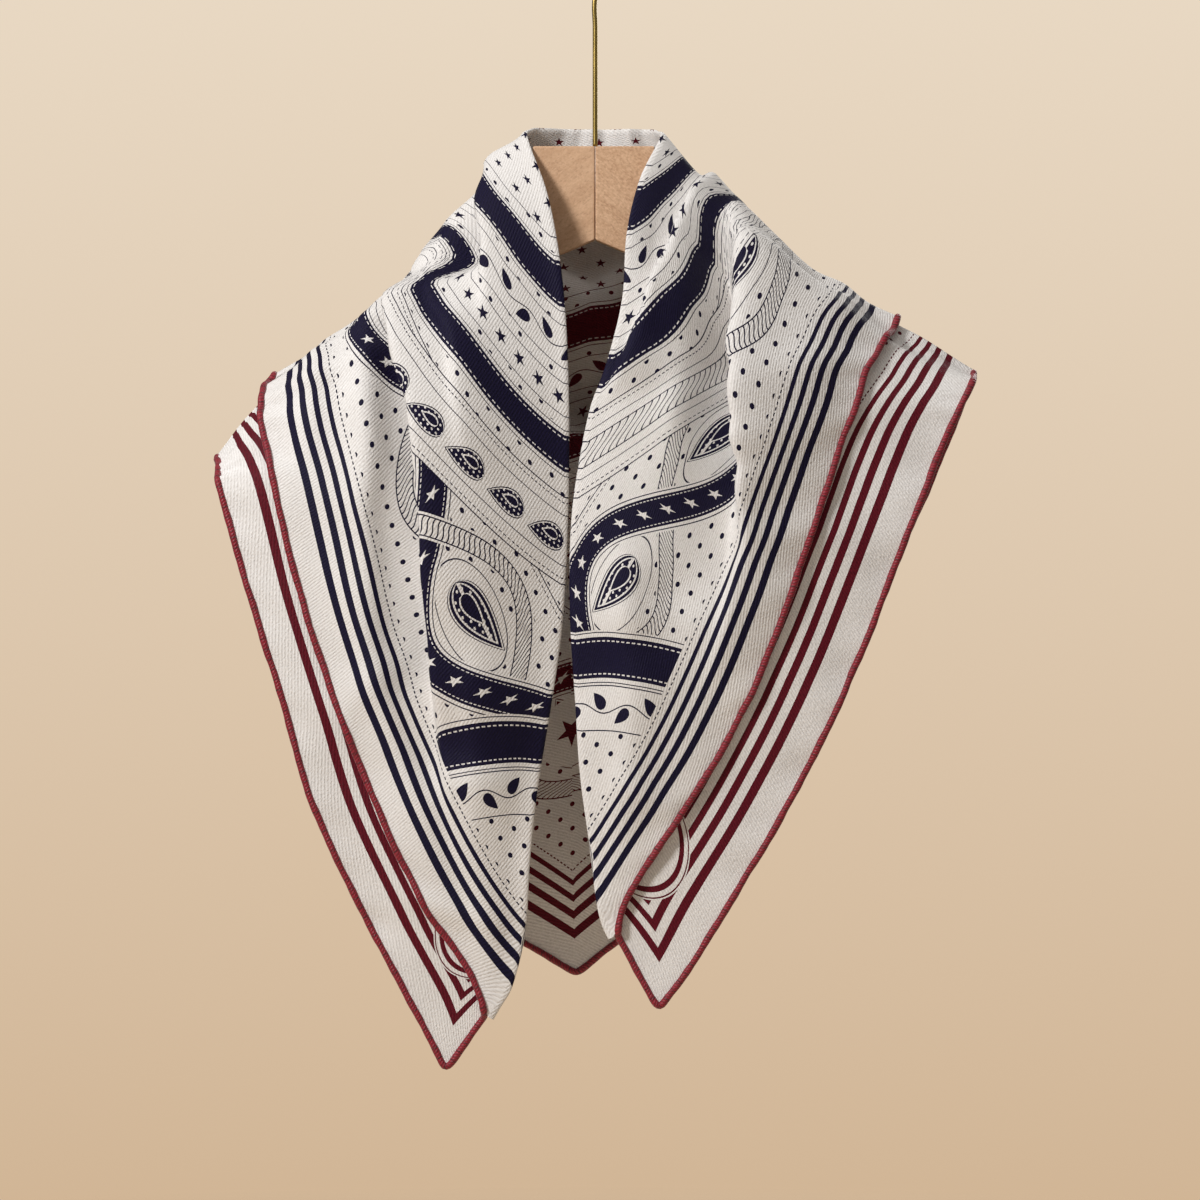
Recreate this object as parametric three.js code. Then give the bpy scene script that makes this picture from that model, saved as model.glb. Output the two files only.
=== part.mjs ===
// A silk square scarf, folded once and draped over a wooden hanger on a brass hook.
// Millimetres, +Z up, -Y towards the viewer. The origin is the inside top of the hook.
import * as THREE from 'three';

// Cloth: the scarf lies in two layers that share one soft fold
const CLOTH = 1.2; // wall of one layer
const LAYER_GAP = 1.8; // air between the two layers
const SEAM = 0.3; // gap that parts two pieces which touch
const HEM_RADIUS = 2.2; // rolled hem
const HEM_LIFT = 2.1; // middle of the outer layer's hem, above the middle of the cloth
const FOLD_RADIUS = 2.6; // soft round of the fold edge
const STATION_STEP = 19; // spacing of the sections built along the scarf
const TIP_CROWDING = 0.045; // how much closer together they stand at the tips
const TIP_SHARE = 0.3; // most of a narrow tip that the soft round of the fold edge takes
const PANEL_COLUMNS = 16; // strips across, from the fold edge to the outer layer's hem
const BORDER_COLUMNS = 4; // strips across, from that hem to the inner layer's hem
const FOLD_FADE = 24; // mm from the fold edge within which the folds die out
const FINE_STEPS = 120; // points that measure a section before its strips are placed
const TUBE_SIDES = 6;

// Hanger and hook
const HANGER_TOP = -148;
const HANGER_THICK = 10;
const MITRE_GAP = 0.3;
const WIRE_RADIUS = 1.55;
const HOOK_RADIUS = 20; // inside of the bend
const HOOK_END = 205; // degrees round the bend, from the +X side
const HOOK_NECK = -50; // degrees where the bend leaves the straight rod
const HOOK_STEP = 17; // degrees between points of the bend
const BRASS = 0x8c783c;
const WOOD = 0xcda57d;
const SILK = 0xe2d9cb;
const HEM_SILK = 0x781428;

// One row for each section across the scarf, in order from the left tip round the back.
// facing: 0 front, 90 up on the shoulder, 180 back. crown: how far the panel bows out.
// fold, outer, inner: points on the fold edge, the outer layer's hem and the inner layer's hem.
const SECTION_COLUMNS = ['name', 'facing', 'crown', 'fold', 'outer', 'inner'];
const SECTION_ROWS = [
  ['L0', 0, 0, [-65, -38, -684], [-67, -38, -681], [-91, -37, -715]],
  ['L1', 0, 0, [-61, -38, -677], [-69, -38, -671], [-107, -37, -684]],
  ['L2', 0, 0, [-54, -39, -665], [-76, -39, -655], [-127, -38, -647]],
  ['L3', 0, 1, [-46, -40, -632], [-103, -40, -614], [-147, -38, -608]],
  ['L4', 0, 3, [-43, -41, -587], [-130, -42, -558], [-173, -40, -550]],
  ['L5', 0, 6, [-38, -42, -542], [-154, -43, -498], [-191, -41, -488]],
  ['L6', 0, 9, [-30, -43, -493], [-177, -43, -430], [-212, -40, -420]],
  ['L7', 4, 12, [-23, -44, -442], [-194, -41, -360], [-229, -36, -361]],
  ['L8', 10, 13, [-20, -44, -392], [-199, -36, -339], [-231, -30, -352]],
  ['L9', 18, 14, [-19, -43, -336], [-203, -30, -320], [-232, -24, -347]],
  ['L10', 30, 12, [-20, -40, -280], [-203, -22, -307], [-233, -18, -343]],
  ['L11', 45, 6, [-24, -33, -227], [-202, -14, -299], [-233, -12, -341]],
  ['L12', 66, -2, [-32, -22, -181], [-200, -7, -294], [-234, -6, -340]],
  ['L13', 90, -10, [-44, -3, -146], [-196, 0, -291], [-234, 0, -340]],
  ['B1', 116, -4, [-41, 14, -139], [-192, 15, -325], [-227, 13, -372]],
  ['B2', 145, 4, [-33, 25, -137], [-178, 24, -385], [-208, 22, -432]],
  ['B3', 165, 9, [-22, 31, -137], [-152, 29, -450], [-180, 28, -500]],
  ['B4', 176, 12, [-13, 34, -137], [-108, 32, -520], [-135, 31, -572]],
  ['B5', 180, 13, [-7, 35, -137], [-57, 33, -572], [-72, 32, -625]],
  ['B6', 180, 14, [-1, 35, -137], [-12, 33, -606], [-12, 32, -662]],
  ['B7', 180, 13, [5, 35, -137], [38, 33, -560], [50, 32, -612]],
  ['B8', 176, 12, [12, 34, -137], [88, 32, -500], [108, 31, -550]],
  ['B9', 165, 9, [22, 31, -137], [130, 29, -432], [152, 28, -480]],
  ['B10', 145, 4, [32, 25, -138], [158, 24, -365], [186, 22, -405]],
  ['B11', 116, -4, [40, 14, -140], [177, 14, -302], [216, 13, -335]],
  ['R13', 90, -9, [43, -3, -145], [185, 0, -258], [234, 0, -287]],
  ['R12', 70, -3, [31, -18, -170], [184, -6, -260], [234, -5, -288]],
  ['R11', 52, 2, [23, -27, -203], [182, -12, -264], [234, -10, -289]],
  ['R10', 38, 7, [20, -34, -244], [179, -18, -270], [233, -16, -291]],
  ['R9', 28, 10, [11, -39, -282], [175, -24, -279], [231, -22, -295]],
  ['R8', 18, 12, [0, -42, -313], [169, -30, -290], [228, -28, -301]],
  ['R7', 10, 13, [-9, -44, -360], [163, -36, -306], [222, -33, -312]],
  ['R6', 4, 12, [-12, -44, -394], [154, -40, -326], [213, -36, -331]],
  ['R5', 0, 10, [-12, -44, -440], [134, -43, -387], [190, -39, -389]],
  ['R4', 0, 7, [-9, -43, -490], [109, -43, -453], [164, -40, -456]],
  ['R3', 0, 4, [-6, -42, -535], [81, -42, -511], [138, -39, -514]],
  ['R2', 0, 2, [0, -40, -580], [47, -41, -565], [108, -39, -570]],
  ['R1', 0, 0, [4, -39, -613], [22, -39, -604], [79, -38, -618]],
  ['R0b', 0, 0, [7, -38, -626], [15, -38, -620], [58, -37, -652]],
  ['R0', 0, 0, [11, -38, -635], [13, -38, -631], [39, -37, -678]],
];

const SECTIONS = SECTION_ROWS.map((row) => (
  Object.fromEntries(row.map((value, k) => [SECTION_COLUMNS[k], value]))));

// One row for each fold. near, far: its spread towards the fold edge and towards the hem.
// lean: how far the crest tips over, for each millimetre of height, outwards when positive.
// stops: section, place across the panel from 0 at the fold edge to 1 at the hem, height.
const FOLDS = [
  { name: 'left roll', near: 38, far: 17, lean: 0.6, stops: [
    ['L3', 0.44, 0], ['L5', 0.42, 7], ['L6', 0.405, 14], ['L7', 0.395, 21], ['L9', 0.40, 27],
    ['L10', 0.435, 27], ['L11', 0.44, 26], ['L12', 0.455, 19], ['L13', 0.43, 13], ['B1', 0.42, 9],
    ['B3', 0.36, 0]] },
  { name: 'left roll hollow', near: 12, far: 34, lean: 0, stops: [
    ['L4', 0.55, 0], ['L6', 0.54, -6], ['L9', 0.53, -10], ['L11', 0.56, -9], ['L12', 0.57, -5],
    ['B1', 0.54, 0]] },
  { name: 'left outer fold', near: 12, far: 14, lean: 0.2, stops: [
    ['L5', 0.74, 0], ['L7', 0.70, 6], ['L9', 0.67, 8], ['L11', 0.66, 7], ['B1', 0.62, 0]] },
  { name: 'left neck pleat', near: 14, far: 11, lean: 0.6, stops: [
    ['L9', 0.22, 0], ['L10', 0.18, 4], ['L11', 0.15, 10], ['L12', 0.14, 14], ['L13', 0.12, 10],
    ['B2', 0.10, 0]] },
  { name: 'left neck dip', near: 14, far: 22, lean: 0, stops: [
    ['L11', 0.26, 0], ['L12', 0.25, -7], ['L13', 0.21, -8], ['B1', 0.20, -4], ['B2', 0.22, 0]] },
  { name: 'right neck fold', near: 11, far: 34, lean: -0.6, stops: [
    ['R8', 0.06, 0], ['R9', 0.08, 7], ['R10', 0.14, 13], ['R11', 0.21, 18], ['R12', 0.22, 15],
    ['R13', 0.21, 10], ['B11', 0.18, 5], ['B10', 0.16, 0]] },
  { name: 'right neck dip', near: 12, far: 12, lean: 0, stops: [
    ['R11', 0.06, 0], ['R12', 0.09, -3], ['R13', 0.11, -6], ['B11', 0.11, -3], ['B10', 0.11, 0]] },
  { name: 'right roll', near: 17, far: 42, lean: -0.6, stops: [
    ['R3', 0.73, 0], ['R5', 0.73, 7], ['R6', 0.655, 15], ['R7', 0.615, 21], ['R8', 0.585, 25],
    ['R9', 0.535, 26], ['R11', 0.475, 23], ['R12', 0.40, 16], ['R13', 0.375, 9], ['B11', 0.34, 5],
    ['B9', 0.32, 0]] },
  { name: 'right roll hollow', near: 34, far: 12, lean: 0, stops: [
    ['R4', 0.58, 0], ['R6', 0.54, -6], ['R8', 0.46, -10], ['R9', 0.42, -10], ['R11', 0.36, -7],
    ['R12', 0.32, -4], ['B11', 0.30, 0]] },
  { name: 'back swag high', near: 20, far: 18, lean: 0.4, stops: [
    ['B1', 0.20, 0], ['B3', 0.17, 15], ['B6', 0.16, 20], ['B9', 0.17, 15], ['B11', 0.20, 0]] },
  { name: 'back swag middle', near: 26, far: 22, lean: 0.4, stops: [
    ['L13', 0.5, 0], ['B2', 0.40, 13], ['B6', 0.36, 20], ['B10', 0.40, 13], ['R13', 0.5, 0]] },
  { name: 'back swag low', near: 30, far: 26, lean: 0.3, stops: [
    ['B1', 0.74, 0], ['B3', 0.64, 10], ['B6', 0.60, 15], ['B9', 0.64, 10], ['B11', 0.74, 0]] },
];

// Top edge of the left and right hanger arm, from the middle outwards: x outwards, z
const ARM_TOPS = {
  left: [[38.5, -148], [40, -160], [48, -164], [62, -176], [72, -198], [84, -203.4],
    [114, -233], [126, -245.6], [138, -258.5], [160, -278.2], [178, -294]],
  right: [[36.8, -148], [38, -160], [44, -168], [54, -172], [72, -175], [84, -181.5],
    [96, -193], [126, -234.5], [138, -247.6], [150, -257.2], [172, -275]],
};
const ARM_DEPTH = 52; // height of an arm where it leaves the block
const ARM_TIP_DEPTH = 22;
const ARM_TIP_ROUND = 9; // how far the rounded tip stands out past the last point
const ELBOW = 6; // point of an arm's top above the bend of its underside
const ELBOW_SHARE = 0.72; // depth left at that bend
const NOTCH = { x: 0, z: -206 }; // top of the inverted V under the block
const NOTCH_SIDE = { x: 26, z: -217 };

// Small vector helpers on plain [x, y, z] arrays
const add = (a, b, s = 1) => [a[0] + b[0] * s, a[1] + b[1] * s, a[2] + b[2] * s];
const sub = (a, b) => add(a, b, -1);
const dot = (a, b) => a[0] * b[0] + a[1] * b[1] + a[2] * b[2];
const cross = (a, b) => [
  a[1] * b[2] - a[2] * b[1], a[2] * b[0] - a[0] * b[2], a[0] * b[1] - a[1] * b[0]];
const length = (a) => Math.hypot(a[0], a[1], a[2]);
const unit = (a) => { const l = length(a) || 1; return [a[0] / l, a[1] / l, a[2] / l]; };
const mix = (a, b, t) => add([a[0] * (1 - t), a[1] * (1 - t), a[2] * (1 - t)], b, t);
const smooth = (t) => t * t * (3 - 2 * t);

// Where each section lies along the scarf: the mean length of the fold edge and the hem so far
const PLACES = SECTIONS.reduce((list, row, k) => {
  if (k === 0) return [0];
  const last = SECTIONS[k - 1];
  const step = (length(sub(row.fold, last.fold)) + length(sub(row.outer, last.outer))) / 2;
  return [...list, list[k - 1] + step];
}, []);
const placeOf = (name) => PLACES[SECTIONS.findIndex((row) => row.name === name)];
const TOTAL = PLACES[PLACES.length - 1];
const APEX_NAME = 'B6'; // section where the corner of the square hangs down the back
const APEX = SECTIONS.findIndex((row) => row.name === APEX_NAME);

// A curve through one column of the section table, at place p: smooth but for the apex
function along(p, read) {
  let k = 0;
  while (k < PLACES.length - 2 && p > PLACES[k + 1]) k += 1;
  const slope = (i) => {
    const lo = i === APEX && k === APEX ? i : Math.max(i - 1, 0);
    const hi = i === APEX && k < APEX ? i : Math.min(i + 1, SECTIONS.length - 1);
    return (read(SECTIONS[hi]) - read(SECTIONS[lo])) / (PLACES[hi] - PLACES[lo]);
  };
  const span = PLACES[k + 1] - PLACES[k];
  const t = (p - PLACES[k]) / span;
  const a = read(SECTIONS[k]);
  const b = read(SECTIONS[k + 1]);
  const [start, end] = [slope(k) * span - (b - a), slope(k + 1) * span - (b - a)];
  const bend = t * (1 - t) * ((1 - t) * start - t * end);
  return a + (b - a) * t + bend;
}
const pointAlong = (p, column) => [0, 1, 2].map((axis) => along(p, (row) => row[column][axis]));

// Place and height of a fold at p, eased from stop to stop
function foldAt(fold, p) {
  const stops = fold.stops.map(([name, at, height]) => ({ p: placeOf(name), at, height }));
  stops.sort((a, b) => a.p - b.p);
  if (p <= stops[0].p || p >= stops[stops.length - 1].p) return null;
  const k = stops.findIndex((stop) => stop.p > p) - 1;
  const t = smooth((p - stops[k].p) / (stops[k + 1].p - stops[k].p));
  return {
    at: stops[k].at + (stops[k + 1].at - stops[k].at) * t,
    height: stops[k].height + (stops[k + 1].height - stops[k].height) * t,
  };
}

// The section at p: a function from the distance across to a point of the cloth
function sectionAt(p) {
  const fold = pointAlong(p, 'fold');
  const outer = pointAlong(p, 'outer');
  const inner = pointAlong(p, 'inner');
  const panel = length(sub(outer, fold));
  const border = length(sub(inner, outer));
  const chord = unit(sub(outer, fold));
  const facing = along(p, (row) => row.facing) * Math.PI / 180;
  const side = chord[0] < 0 ? -1 : 1;
  const up = unit([-chord[2] * side, 0, chord[0] * side]);
  const out = unit([up[0] * Math.sin(facing), -Math.cos(facing), up[2] * Math.sin(facing)]);
  const crown = along(p, (row) => row.crown);
  const folds = FOLDS.map((fold) => ({ ...fold, now: foldAt(fold, p) })).filter((fold) => fold.now);
  const point = (across) => {
    const q = across / panel;
    let at = q <= 1 ? mix(fold, outer, q) : mix(outer, inner, (across - panel) / border);
    if (q < 1) at = add(at, out, 4 * crown * q * (1 - q));
    for (const { near, far, lean, now } of folds) {
      const away = across - now.at * panel;
      const share = Math.exp(-((away / (away < 0 ? near : far)) ** 2));
      const height = now.height * share * smooth(Math.min(1, across / FOLD_FADE));
      at = add(add(at, out, height), chord, lean * height);
    }
    return at;
  };
  return { point, panel, border, out };
}

// Points at even lengths along a stretch of a section
function evenPoints(section, from, to, count) {
  const fine = [];
  for (let k = 0; k <= FINE_STEPS; k += 1) fine.push(section.point(from + (to - from) * k / FINE_STEPS));
  const run = [0];
  for (let k = 1; k < fine.length; k += 1) run.push(run[k - 1] + length(sub(fine[k], fine[k - 1])));
  const whole = run[run.length - 1];
  const points = [];
  for (let j = 0; j <= count; j += 1) {
    const want = whole * j / count;
    let k = 1;
    while (k < run.length - 1 && run[k] < want) k += 1;
    const part = (want - run[k - 1]) / (run[k] - run[k - 1] || 1);
    points.push(mix(fine[k - 1], fine[k], part));
  }
  return points;
}

// Stations between the two tips: closer together where the tips narrow
function stationPlaces() {
  const places = [];
  const count = Math.round(TOTAL / STATION_STEP);
  for (let i = 0; i <= count; i += 1) {
    const t = i / count;
    places.push(TOTAL * (t - Math.sin(2 * Math.PI * t) * TIP_CROWDING));
  }
  for (const name of ['L13', APEX_NAME, 'R13']) {
    const want = placeOf(name);
    const away = places.map((p) => Math.abs(p - want));
    places[away.indexOf(Math.min(...away))] = want;
  }
  return places;
}

const STATION_PLACES = stationPlaces();
const NET = STATION_PLACES.map((p) => {
  const section = sectionAt(p);
  const start = Math.min(SEAM + 2 * FOLD_RADIUS, section.panel * TIP_SHARE);
  const panel = evenPoints(section, start, section.panel, PANEL_COLUMNS);
  const border = evenPoints(section, section.panel, section.panel + section.border, BORDER_COLUMNS);
  return { points: [...panel, ...border.slice(1)], out: section.out };
});
const stationOf = (name) => STATION_PLACES.indexOf(placeOf(name));
const LEFT = stationOf('L13');
const RIGHT = stationOf('R13');
const LAST = NET.length - 1;
const COLUMNS = PANEL_COLUMNS + BORDER_COLUMNS;

// Outward direction of the cloth at a net point
function normalAt(i, j) {
  const at = (a, b) => NET[Math.min(Math.max(a, 0), LAST)].points[Math.min(Math.max(b, 0), COLUMNS)];
  const down = sub(at(i + 1, j), at(i - 1, j));
  const across = sub(at(i, j + 1), at(i, j - 1));
  return unit(cross(down, across));
}
const NORMALS = NET.map((row, i) => row.points.map((_, j) => normalAt(i, j)));
const offsetPoint = (i, j, by) => add(NET[i].points[j], NORMALS[i][j], by);

// Geometry from shared points and triangles, turned so that its faces point out
function solidFrom(points, triangles) {
  let volume = 0;
  for (const [a, b, c] of triangles) volume += dot(points[a], cross(points[b], points[c]));
  const geometry = new THREE.BufferGeometry();
  geometry.setAttribute('position', new THREE.Float32BufferAttribute(points.flat(), 3));
  geometry.setIndex(triangles.flatMap(([a, b, c]) => (volume < 0 ? [a, c, b] : [a, b, c])));
  geometry.computeVertexNormals();
  return geometry;
}

// A wall between two grids of points, closed round its four edges
function wallBetween(front, back) {
  const rows = front.length;
  const columns = front[0].length;
  const points = [...front.flat(), ...back.flat()];
  const half = rows * columns;
  const id = (face, i, j) => face * half + i * columns + j;
  const triangles = [];
  const quad = (a, b, c, d) => triangles.push([a, b, c], [a, c, d]);
  for (let i = 0; i < rows - 1; i += 1) {
    for (let j = 0; j < columns - 1; j += 1) {
      quad(id(0, i, j), id(0, i, j + 1), id(0, i + 1, j + 1), id(0, i + 1, j));
      quad(id(1, i, j), id(1, i + 1, j), id(1, i + 1, j + 1), id(1, i, j + 1));
    }
    quad(id(0, i, 0), id(0, i + 1, 0), id(1, i + 1, 0), id(1, i, 0));
    const edge = columns - 1;
    quad(id(0, i, edge), id(1, i, edge), id(1, i + 1, edge), id(0, i + 1, edge));
  }
  for (let j = 0; j < columns - 1; j += 1) {
    quad(id(0, 0, j), id(1, 0, j), id(1, 0, j + 1), id(0, 0, j + 1));
    quad(id(0, rows - 1, j), id(0, rows - 1, j + 1), id(1, rows - 1, j + 1), id(1, rows - 1, j));
  }
  return solidFrom(points, triangles);
}

// A tube through rings of points, closed at both ends
function tubeThrough(rings) {
  const sides = rings[0].length;
  const points = rings.flat();
  const triangles = [];
  for (let i = 0; i < rings.length - 1; i += 1) {
    for (let k = 0; k < sides; k += 1) {
      const next = (k + 1) % sides;
      const [a, b] = [i * sides + k, i * sides + next];
      triangles.push([a, b, b + sides], [a, b + sides, a + sides]);
    }
  }
  const end = (rings.length - 1) * sides;
  for (let k = 1; k < sides - 1; k += 1) {
    triangles.push([0, k + 1, k], [end, end + k, end + k + 1]);
  }
  return solidFrom(points, triangles);
}

// A stretch of one layer: stations from..to, columns 0..last, moved out by the middle of the wall
function layerWall(from, to, lastColumn, middle) {
  const grid = (by) => {
    const rows = [];
    for (let i = from; i <= to; i += 1) {
      rows.push(NET[i].points.slice(0, lastColumn + 1).map((_, j) => offsetPoint(i, j, by)));
    }
    trimEnd(rows, 0, from > 0);
    trimEnd(rows, rows.length - 1, to < LAST);
    return rows;
  };
  return wallBetween(grid(middle + CLOTH / 2), grid(middle - CLOTH / 2));
}

// Draws an end row back by half a seam, so that two stretches of cloth don't touch
function trimEnd(rows, at, meets) {
  if (!meets) return;
  const next = at === 0 ? 1 : at - 1;
  rows[at] = rows[at].map((point, j) => {
    const way = sub(rows[next][j], point);
    return add(point, unit(way), SEAM / 2);
  });
}

// Way out of the cloth at an edge, away from the inside point. It is square to the edge on both
// sides, and longer round a corner, so that what follows the edge keeps its distance.
function outward(point, inside, before, after) {
  const way = sub(point, inside);
  const square = (a, b) => {
    const edge = unit(sub(b, a));
    return unit(add(way, edge, -dot(way, edge)));
  };
  const ends = [[before, point], [point, after]].filter(([a, b]) => length(sub(b, a)) > 0);
  const [first, last] = [square(...ends[0]), square(...ends[ends.length - 1])];
  const both = add(first, last);
  return both.map((v) => v / (1 + dot(first, last)));
}
function edgeOutward(i, column, inside) {
  const before = NET[Math.max(i - 1, 0)].points[column];
  const after = NET[Math.min(i + 1, LAST)].points[column];
  return outward(NET[i].points[column], NET[i].points[inside], before, after);
}
function legOutward(tip, j) {
  const inside = tip === 0 ? 1 : LAST - 1;
  const row = NET[tip].points;
  return outward(row[j], NET[inside].points[j], row[PANEL_COLUMNS], row[COLUMNS]);
}

const OUTER_MIDDLE = (LAYER_GAP + CLOTH) / 2;
const HEM_OUT = SEAM + HEM_RADIUS;

// The whole rolled hem as one closed line of centres, from the left shoulder down the outer
// layer, round the left tip, along the inner layer and round the right tip
function hemLine() {
  const line = [];
  const push = (i, j, way, lift) => {
    line.push({ centre: add(offsetPoint(i, j, lift), way, HEM_OUT), facing: NORMALS[i][j], i, j });
  };
  const outerAt = (i) => push(i, PANEL_COLUMNS, edgeOutward(i, PANEL_COLUMNS, PANEL_COLUMNS - 1), HEM_LIFT);
  const innerAt = (i) => push(i, COLUMNS, edgeOutward(i, COLUMNS, COLUMNS - 1), -OUTER_MIDDLE);
  const legAt = (tip, k) => {
    const drop = (HEM_LIFT + OUTER_MIDDLE) * smooth(Math.min(1, 2 * k / BORDER_COLUMNS));
    push(tip, PANEL_COLUMNS + k, legOutward(tip, PANEL_COLUMNS + k), HEM_LIFT - drop);
  };
  const cornerAt = (tip, j, lift) => {
    const way = unit(add(legOutward(tip, j), edgeOutward(tip, j, j - 1)));
    push(tip, j, way.map((v) => v * Math.SQRT2), lift);
  };
  for (let i = LEFT; i > 0; i -= 1) outerAt(i);
  cornerAt(0, PANEL_COLUMNS, HEM_LIFT);
  for (let k = 1; k < BORDER_COLUMNS; k += 1) legAt(0, k);
  cornerAt(0, COLUMNS, -OUTER_MIDDLE);
  for (let i = 1; i < LAST; i += 1) innerAt(i);
  cornerAt(LAST, COLUMNS, -OUTER_MIDDLE);
  for (let k = BORDER_COLUMNS - 1; k > 0; k -= 1) legAt(LAST, k);
  cornerAt(LAST, PANEL_COLUMNS, HEM_LIFT);
  for (let i = LAST - 1; i > LEFT; i -= 1) outerAt(i);
  return line;
}

// The soft round of the fold edge, which joins the two layers
function foldLine() {
  const line = [];
  for (let i = 1; i < LAST; i += 1) {
    const way = edgeOutward(i, 0, 1);
    line.push({ centre: add(NET[i].points[0], way, SEAM + FOLD_RADIUS), facing: NORMALS[i][0], i, j: 0 });
  }
  return line;
}

// Rings round a line of centres; a closed line takes its neighbours from both ends
function ringsRound(line, radius, closed) {
  const count = line.length;
  const at = (k) => line[closed ? (k + count) % count : Math.min(Math.max(k, 0), count - 1)];
  return line.map(({ centre, facing }, k) => {
    const ahead = unit(sub(at(k + 1).centre, at(k - 1).centre));
    const across = unit(cross(ahead, facing));
    const out = unit(cross(across, ahead));
    const ring = [];
    for (let side = 0; side < TUBE_SIDES; side += 1) {
      const turn = 2 * Math.PI * (side + 0.5) / TUBE_SIDES;
      ring.push(add(add(centre, across, radius * Math.cos(turn)), out, radius * Math.sin(turn)));
    }
    return ring;
  });
}

// A stretch of a tube, its two end rings drawn back by half a seam
function stretchOf(rings, from, to) {
  const part = [];
  for (let k = from; k <= to; k += 1) part.push(rings[k % rings.length]);
  const last = part.length - 1;
  const back = (ring, next) => ring.map((point, k) => add(point, unit(sub(next[k], point)), SEAM / 2));
  const first = back(part[0], part[1]);
  const final = back(part[last], part[last - 1]);
  return tubeThrough([first, ...part.slice(1, last), final]);
}

// A hanger arm: an outline in the XZ plane, drawn for +X and mirrored for the left
function hangerArm(side) {
  const sign = side === 'left' ? -1 : 1;
  const tops = ARM_TOPS[side];
  const tip = tops[tops.length - 1];
  const shape = new THREE.Shape();
  shape.moveTo(MITRE_GAP / 2, HANGER_TOP);
  shape.lineTo(tops[0][0], tops[0][1]);
  shape.lineTo(tops[1][0], tops[1][1]);
  shape.splineThru(tops.slice(2).map(([x, z]) => new THREE.Vector2(x, z)));
  shape.quadraticCurveTo(
    tip[0] + ARM_TIP_ROUND, tip[1] - ARM_TIP_DEPTH / 2, tip[0] - 2, tip[1] - ARM_TIP_DEPTH);
  const elbow = tops[ELBOW];
  shape.splineThru([
    new THREE.Vector2(elbow[0], elbow[1] - ARM_DEPTH * ELBOW_SHARE),
    new THREE.Vector2(NOTCH_SIDE.x, NOTCH_SIDE.z),
  ]);
  shape.lineTo(NOTCH.x + MITRE_GAP / 2, NOTCH.z);
  shape.closePath();
  const geometry = new THREE.ExtrudeGeometry(shape, {
    depth: HANGER_THICK, bevelEnabled: false, curveSegments: 4 });
  geometry.rotateX(Math.PI / 2);
  geometry.translate(0, HANGER_THICK / 2, 0);
  if (sign < 0) mirrorX(geometry);
  return geometry;
}

// Mirrors a geometry without an index left to right and keeps its faces pointing out
function mirrorX(geometry) {
  const position = geometry.attributes.position;
  for (let i = 0; i < position.count; i += 3) {
    const corners = [i, i + 1, i + 2].map((k) => [position.getX(k), position.getY(k), position.getZ(k)]);
    [corners[0], corners[2], corners[1]].forEach(([x, y, z], k) => position.setXYZ(i + k, -x, y, z));
  }
  geometry.computeVertexNormals();
}

// The hook: a straight rod that rises from the block and bends round the origin
function hookGeometry() {
  const middle = HOOK_RADIUS + WIRE_RADIUS;
  const centreZ = -HOOK_RADIUS;
  const points = [
    new THREE.Vector3(0, 0, HANGER_TOP + SEAM),
    new THREE.Vector3(0, 0, HANGER_TOP / 2),
    new THREE.Vector3(0, 0, centreZ - middle - 14),
    new THREE.Vector3(4, 0, centreZ - middle - 1),
  ];
  for (let turn = HOOK_NECK; turn <= HOOK_END; turn += HOOK_STEP) {
    const angle = turn * Math.PI / 180;
    points.push(new THREE.Vector3(middle * Math.cos(angle), 0, centreZ + middle * Math.sin(angle)));
  }
  const path = new THREE.CatmullRomCurve3(points, false, 'centripetal');
  const section = new THREE.Shape();
  section.absarc(0, 0, WIRE_RADIUS, 0, 2 * Math.PI);
  return new THREE.ExtrudeGeometry(section, { steps: 56, curveSegments: 5, extrudePath: path });
}

const silk = (color) => new THREE.MeshStandardMaterial({ color, roughness: 0.55, metalness: 0 });
const wood = new THREE.MeshStandardMaterial({ color: WOOD, roughness: 0.6, metalness: 0 });
const brass = new THREE.MeshStandardMaterial({ color: BRASS, roughness: 0.3, metalness: 1 });

const scarf = new THREE.Group();
function piece(name, geometry, material) {
  const mesh = new THREE.Mesh(geometry, material);
  mesh.name = name;
  scarf.add(mesh);
}

const STRETCHES = [
  { name: 'front_left', from: 0, to: LEFT },
  { name: 'back', from: LEFT, to: RIGHT },
  { name: 'front_right', from: RIGHT, to: LAST },
];
const FOLD_RINGS = ringsRound(foldLine(), FOLD_RADIUS, false);
for (const { name, from, to } of STRETCHES) {
  const [first, last] = [Math.max(from, 1), Math.min(to, LAST - 1)];
  piece(`outer_layer_${name}`, layerWall(first, last, PANEL_COLUMNS, OUTER_MIDDLE), silk(SILK));
  piece(`inner_layer_${name}`, layerWall(from, to, COLUMNS, -OUTER_MIDDLE), silk(SILK));
  piece(`fold_edge_${name}`, stretchOf(FOLD_RINGS, first - 1, last - 1), silk(SILK));
}

const HEM_LINE = hemLine();
const HEM_RINGS = ringsRound(HEM_LINE, HEM_RADIUS, true);
const hemAt = (i, j) => HEM_LINE.findIndex((place) => place.i === i && place.j === j);
const HEMS = [
  { name: 'rolled_hem_left', from: 0, to: hemAt(LEFT, COLUMNS) },
  { name: 'rolled_hem_back_inner', from: hemAt(LEFT, COLUMNS), to: hemAt(RIGHT, COLUMNS) },
  { name: 'rolled_hem_right', from: hemAt(RIGHT, COLUMNS), to: hemAt(RIGHT, PANEL_COLUMNS) },
  { name: 'rolled_hem_back_outer', from: hemAt(RIGHT, PANEL_COLUMNS), to: HEM_RINGS.length },
];
for (const { name, from, to } of HEMS) piece(name, stretchOf(HEM_RINGS, from, to), silk(HEM_SILK));

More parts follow.
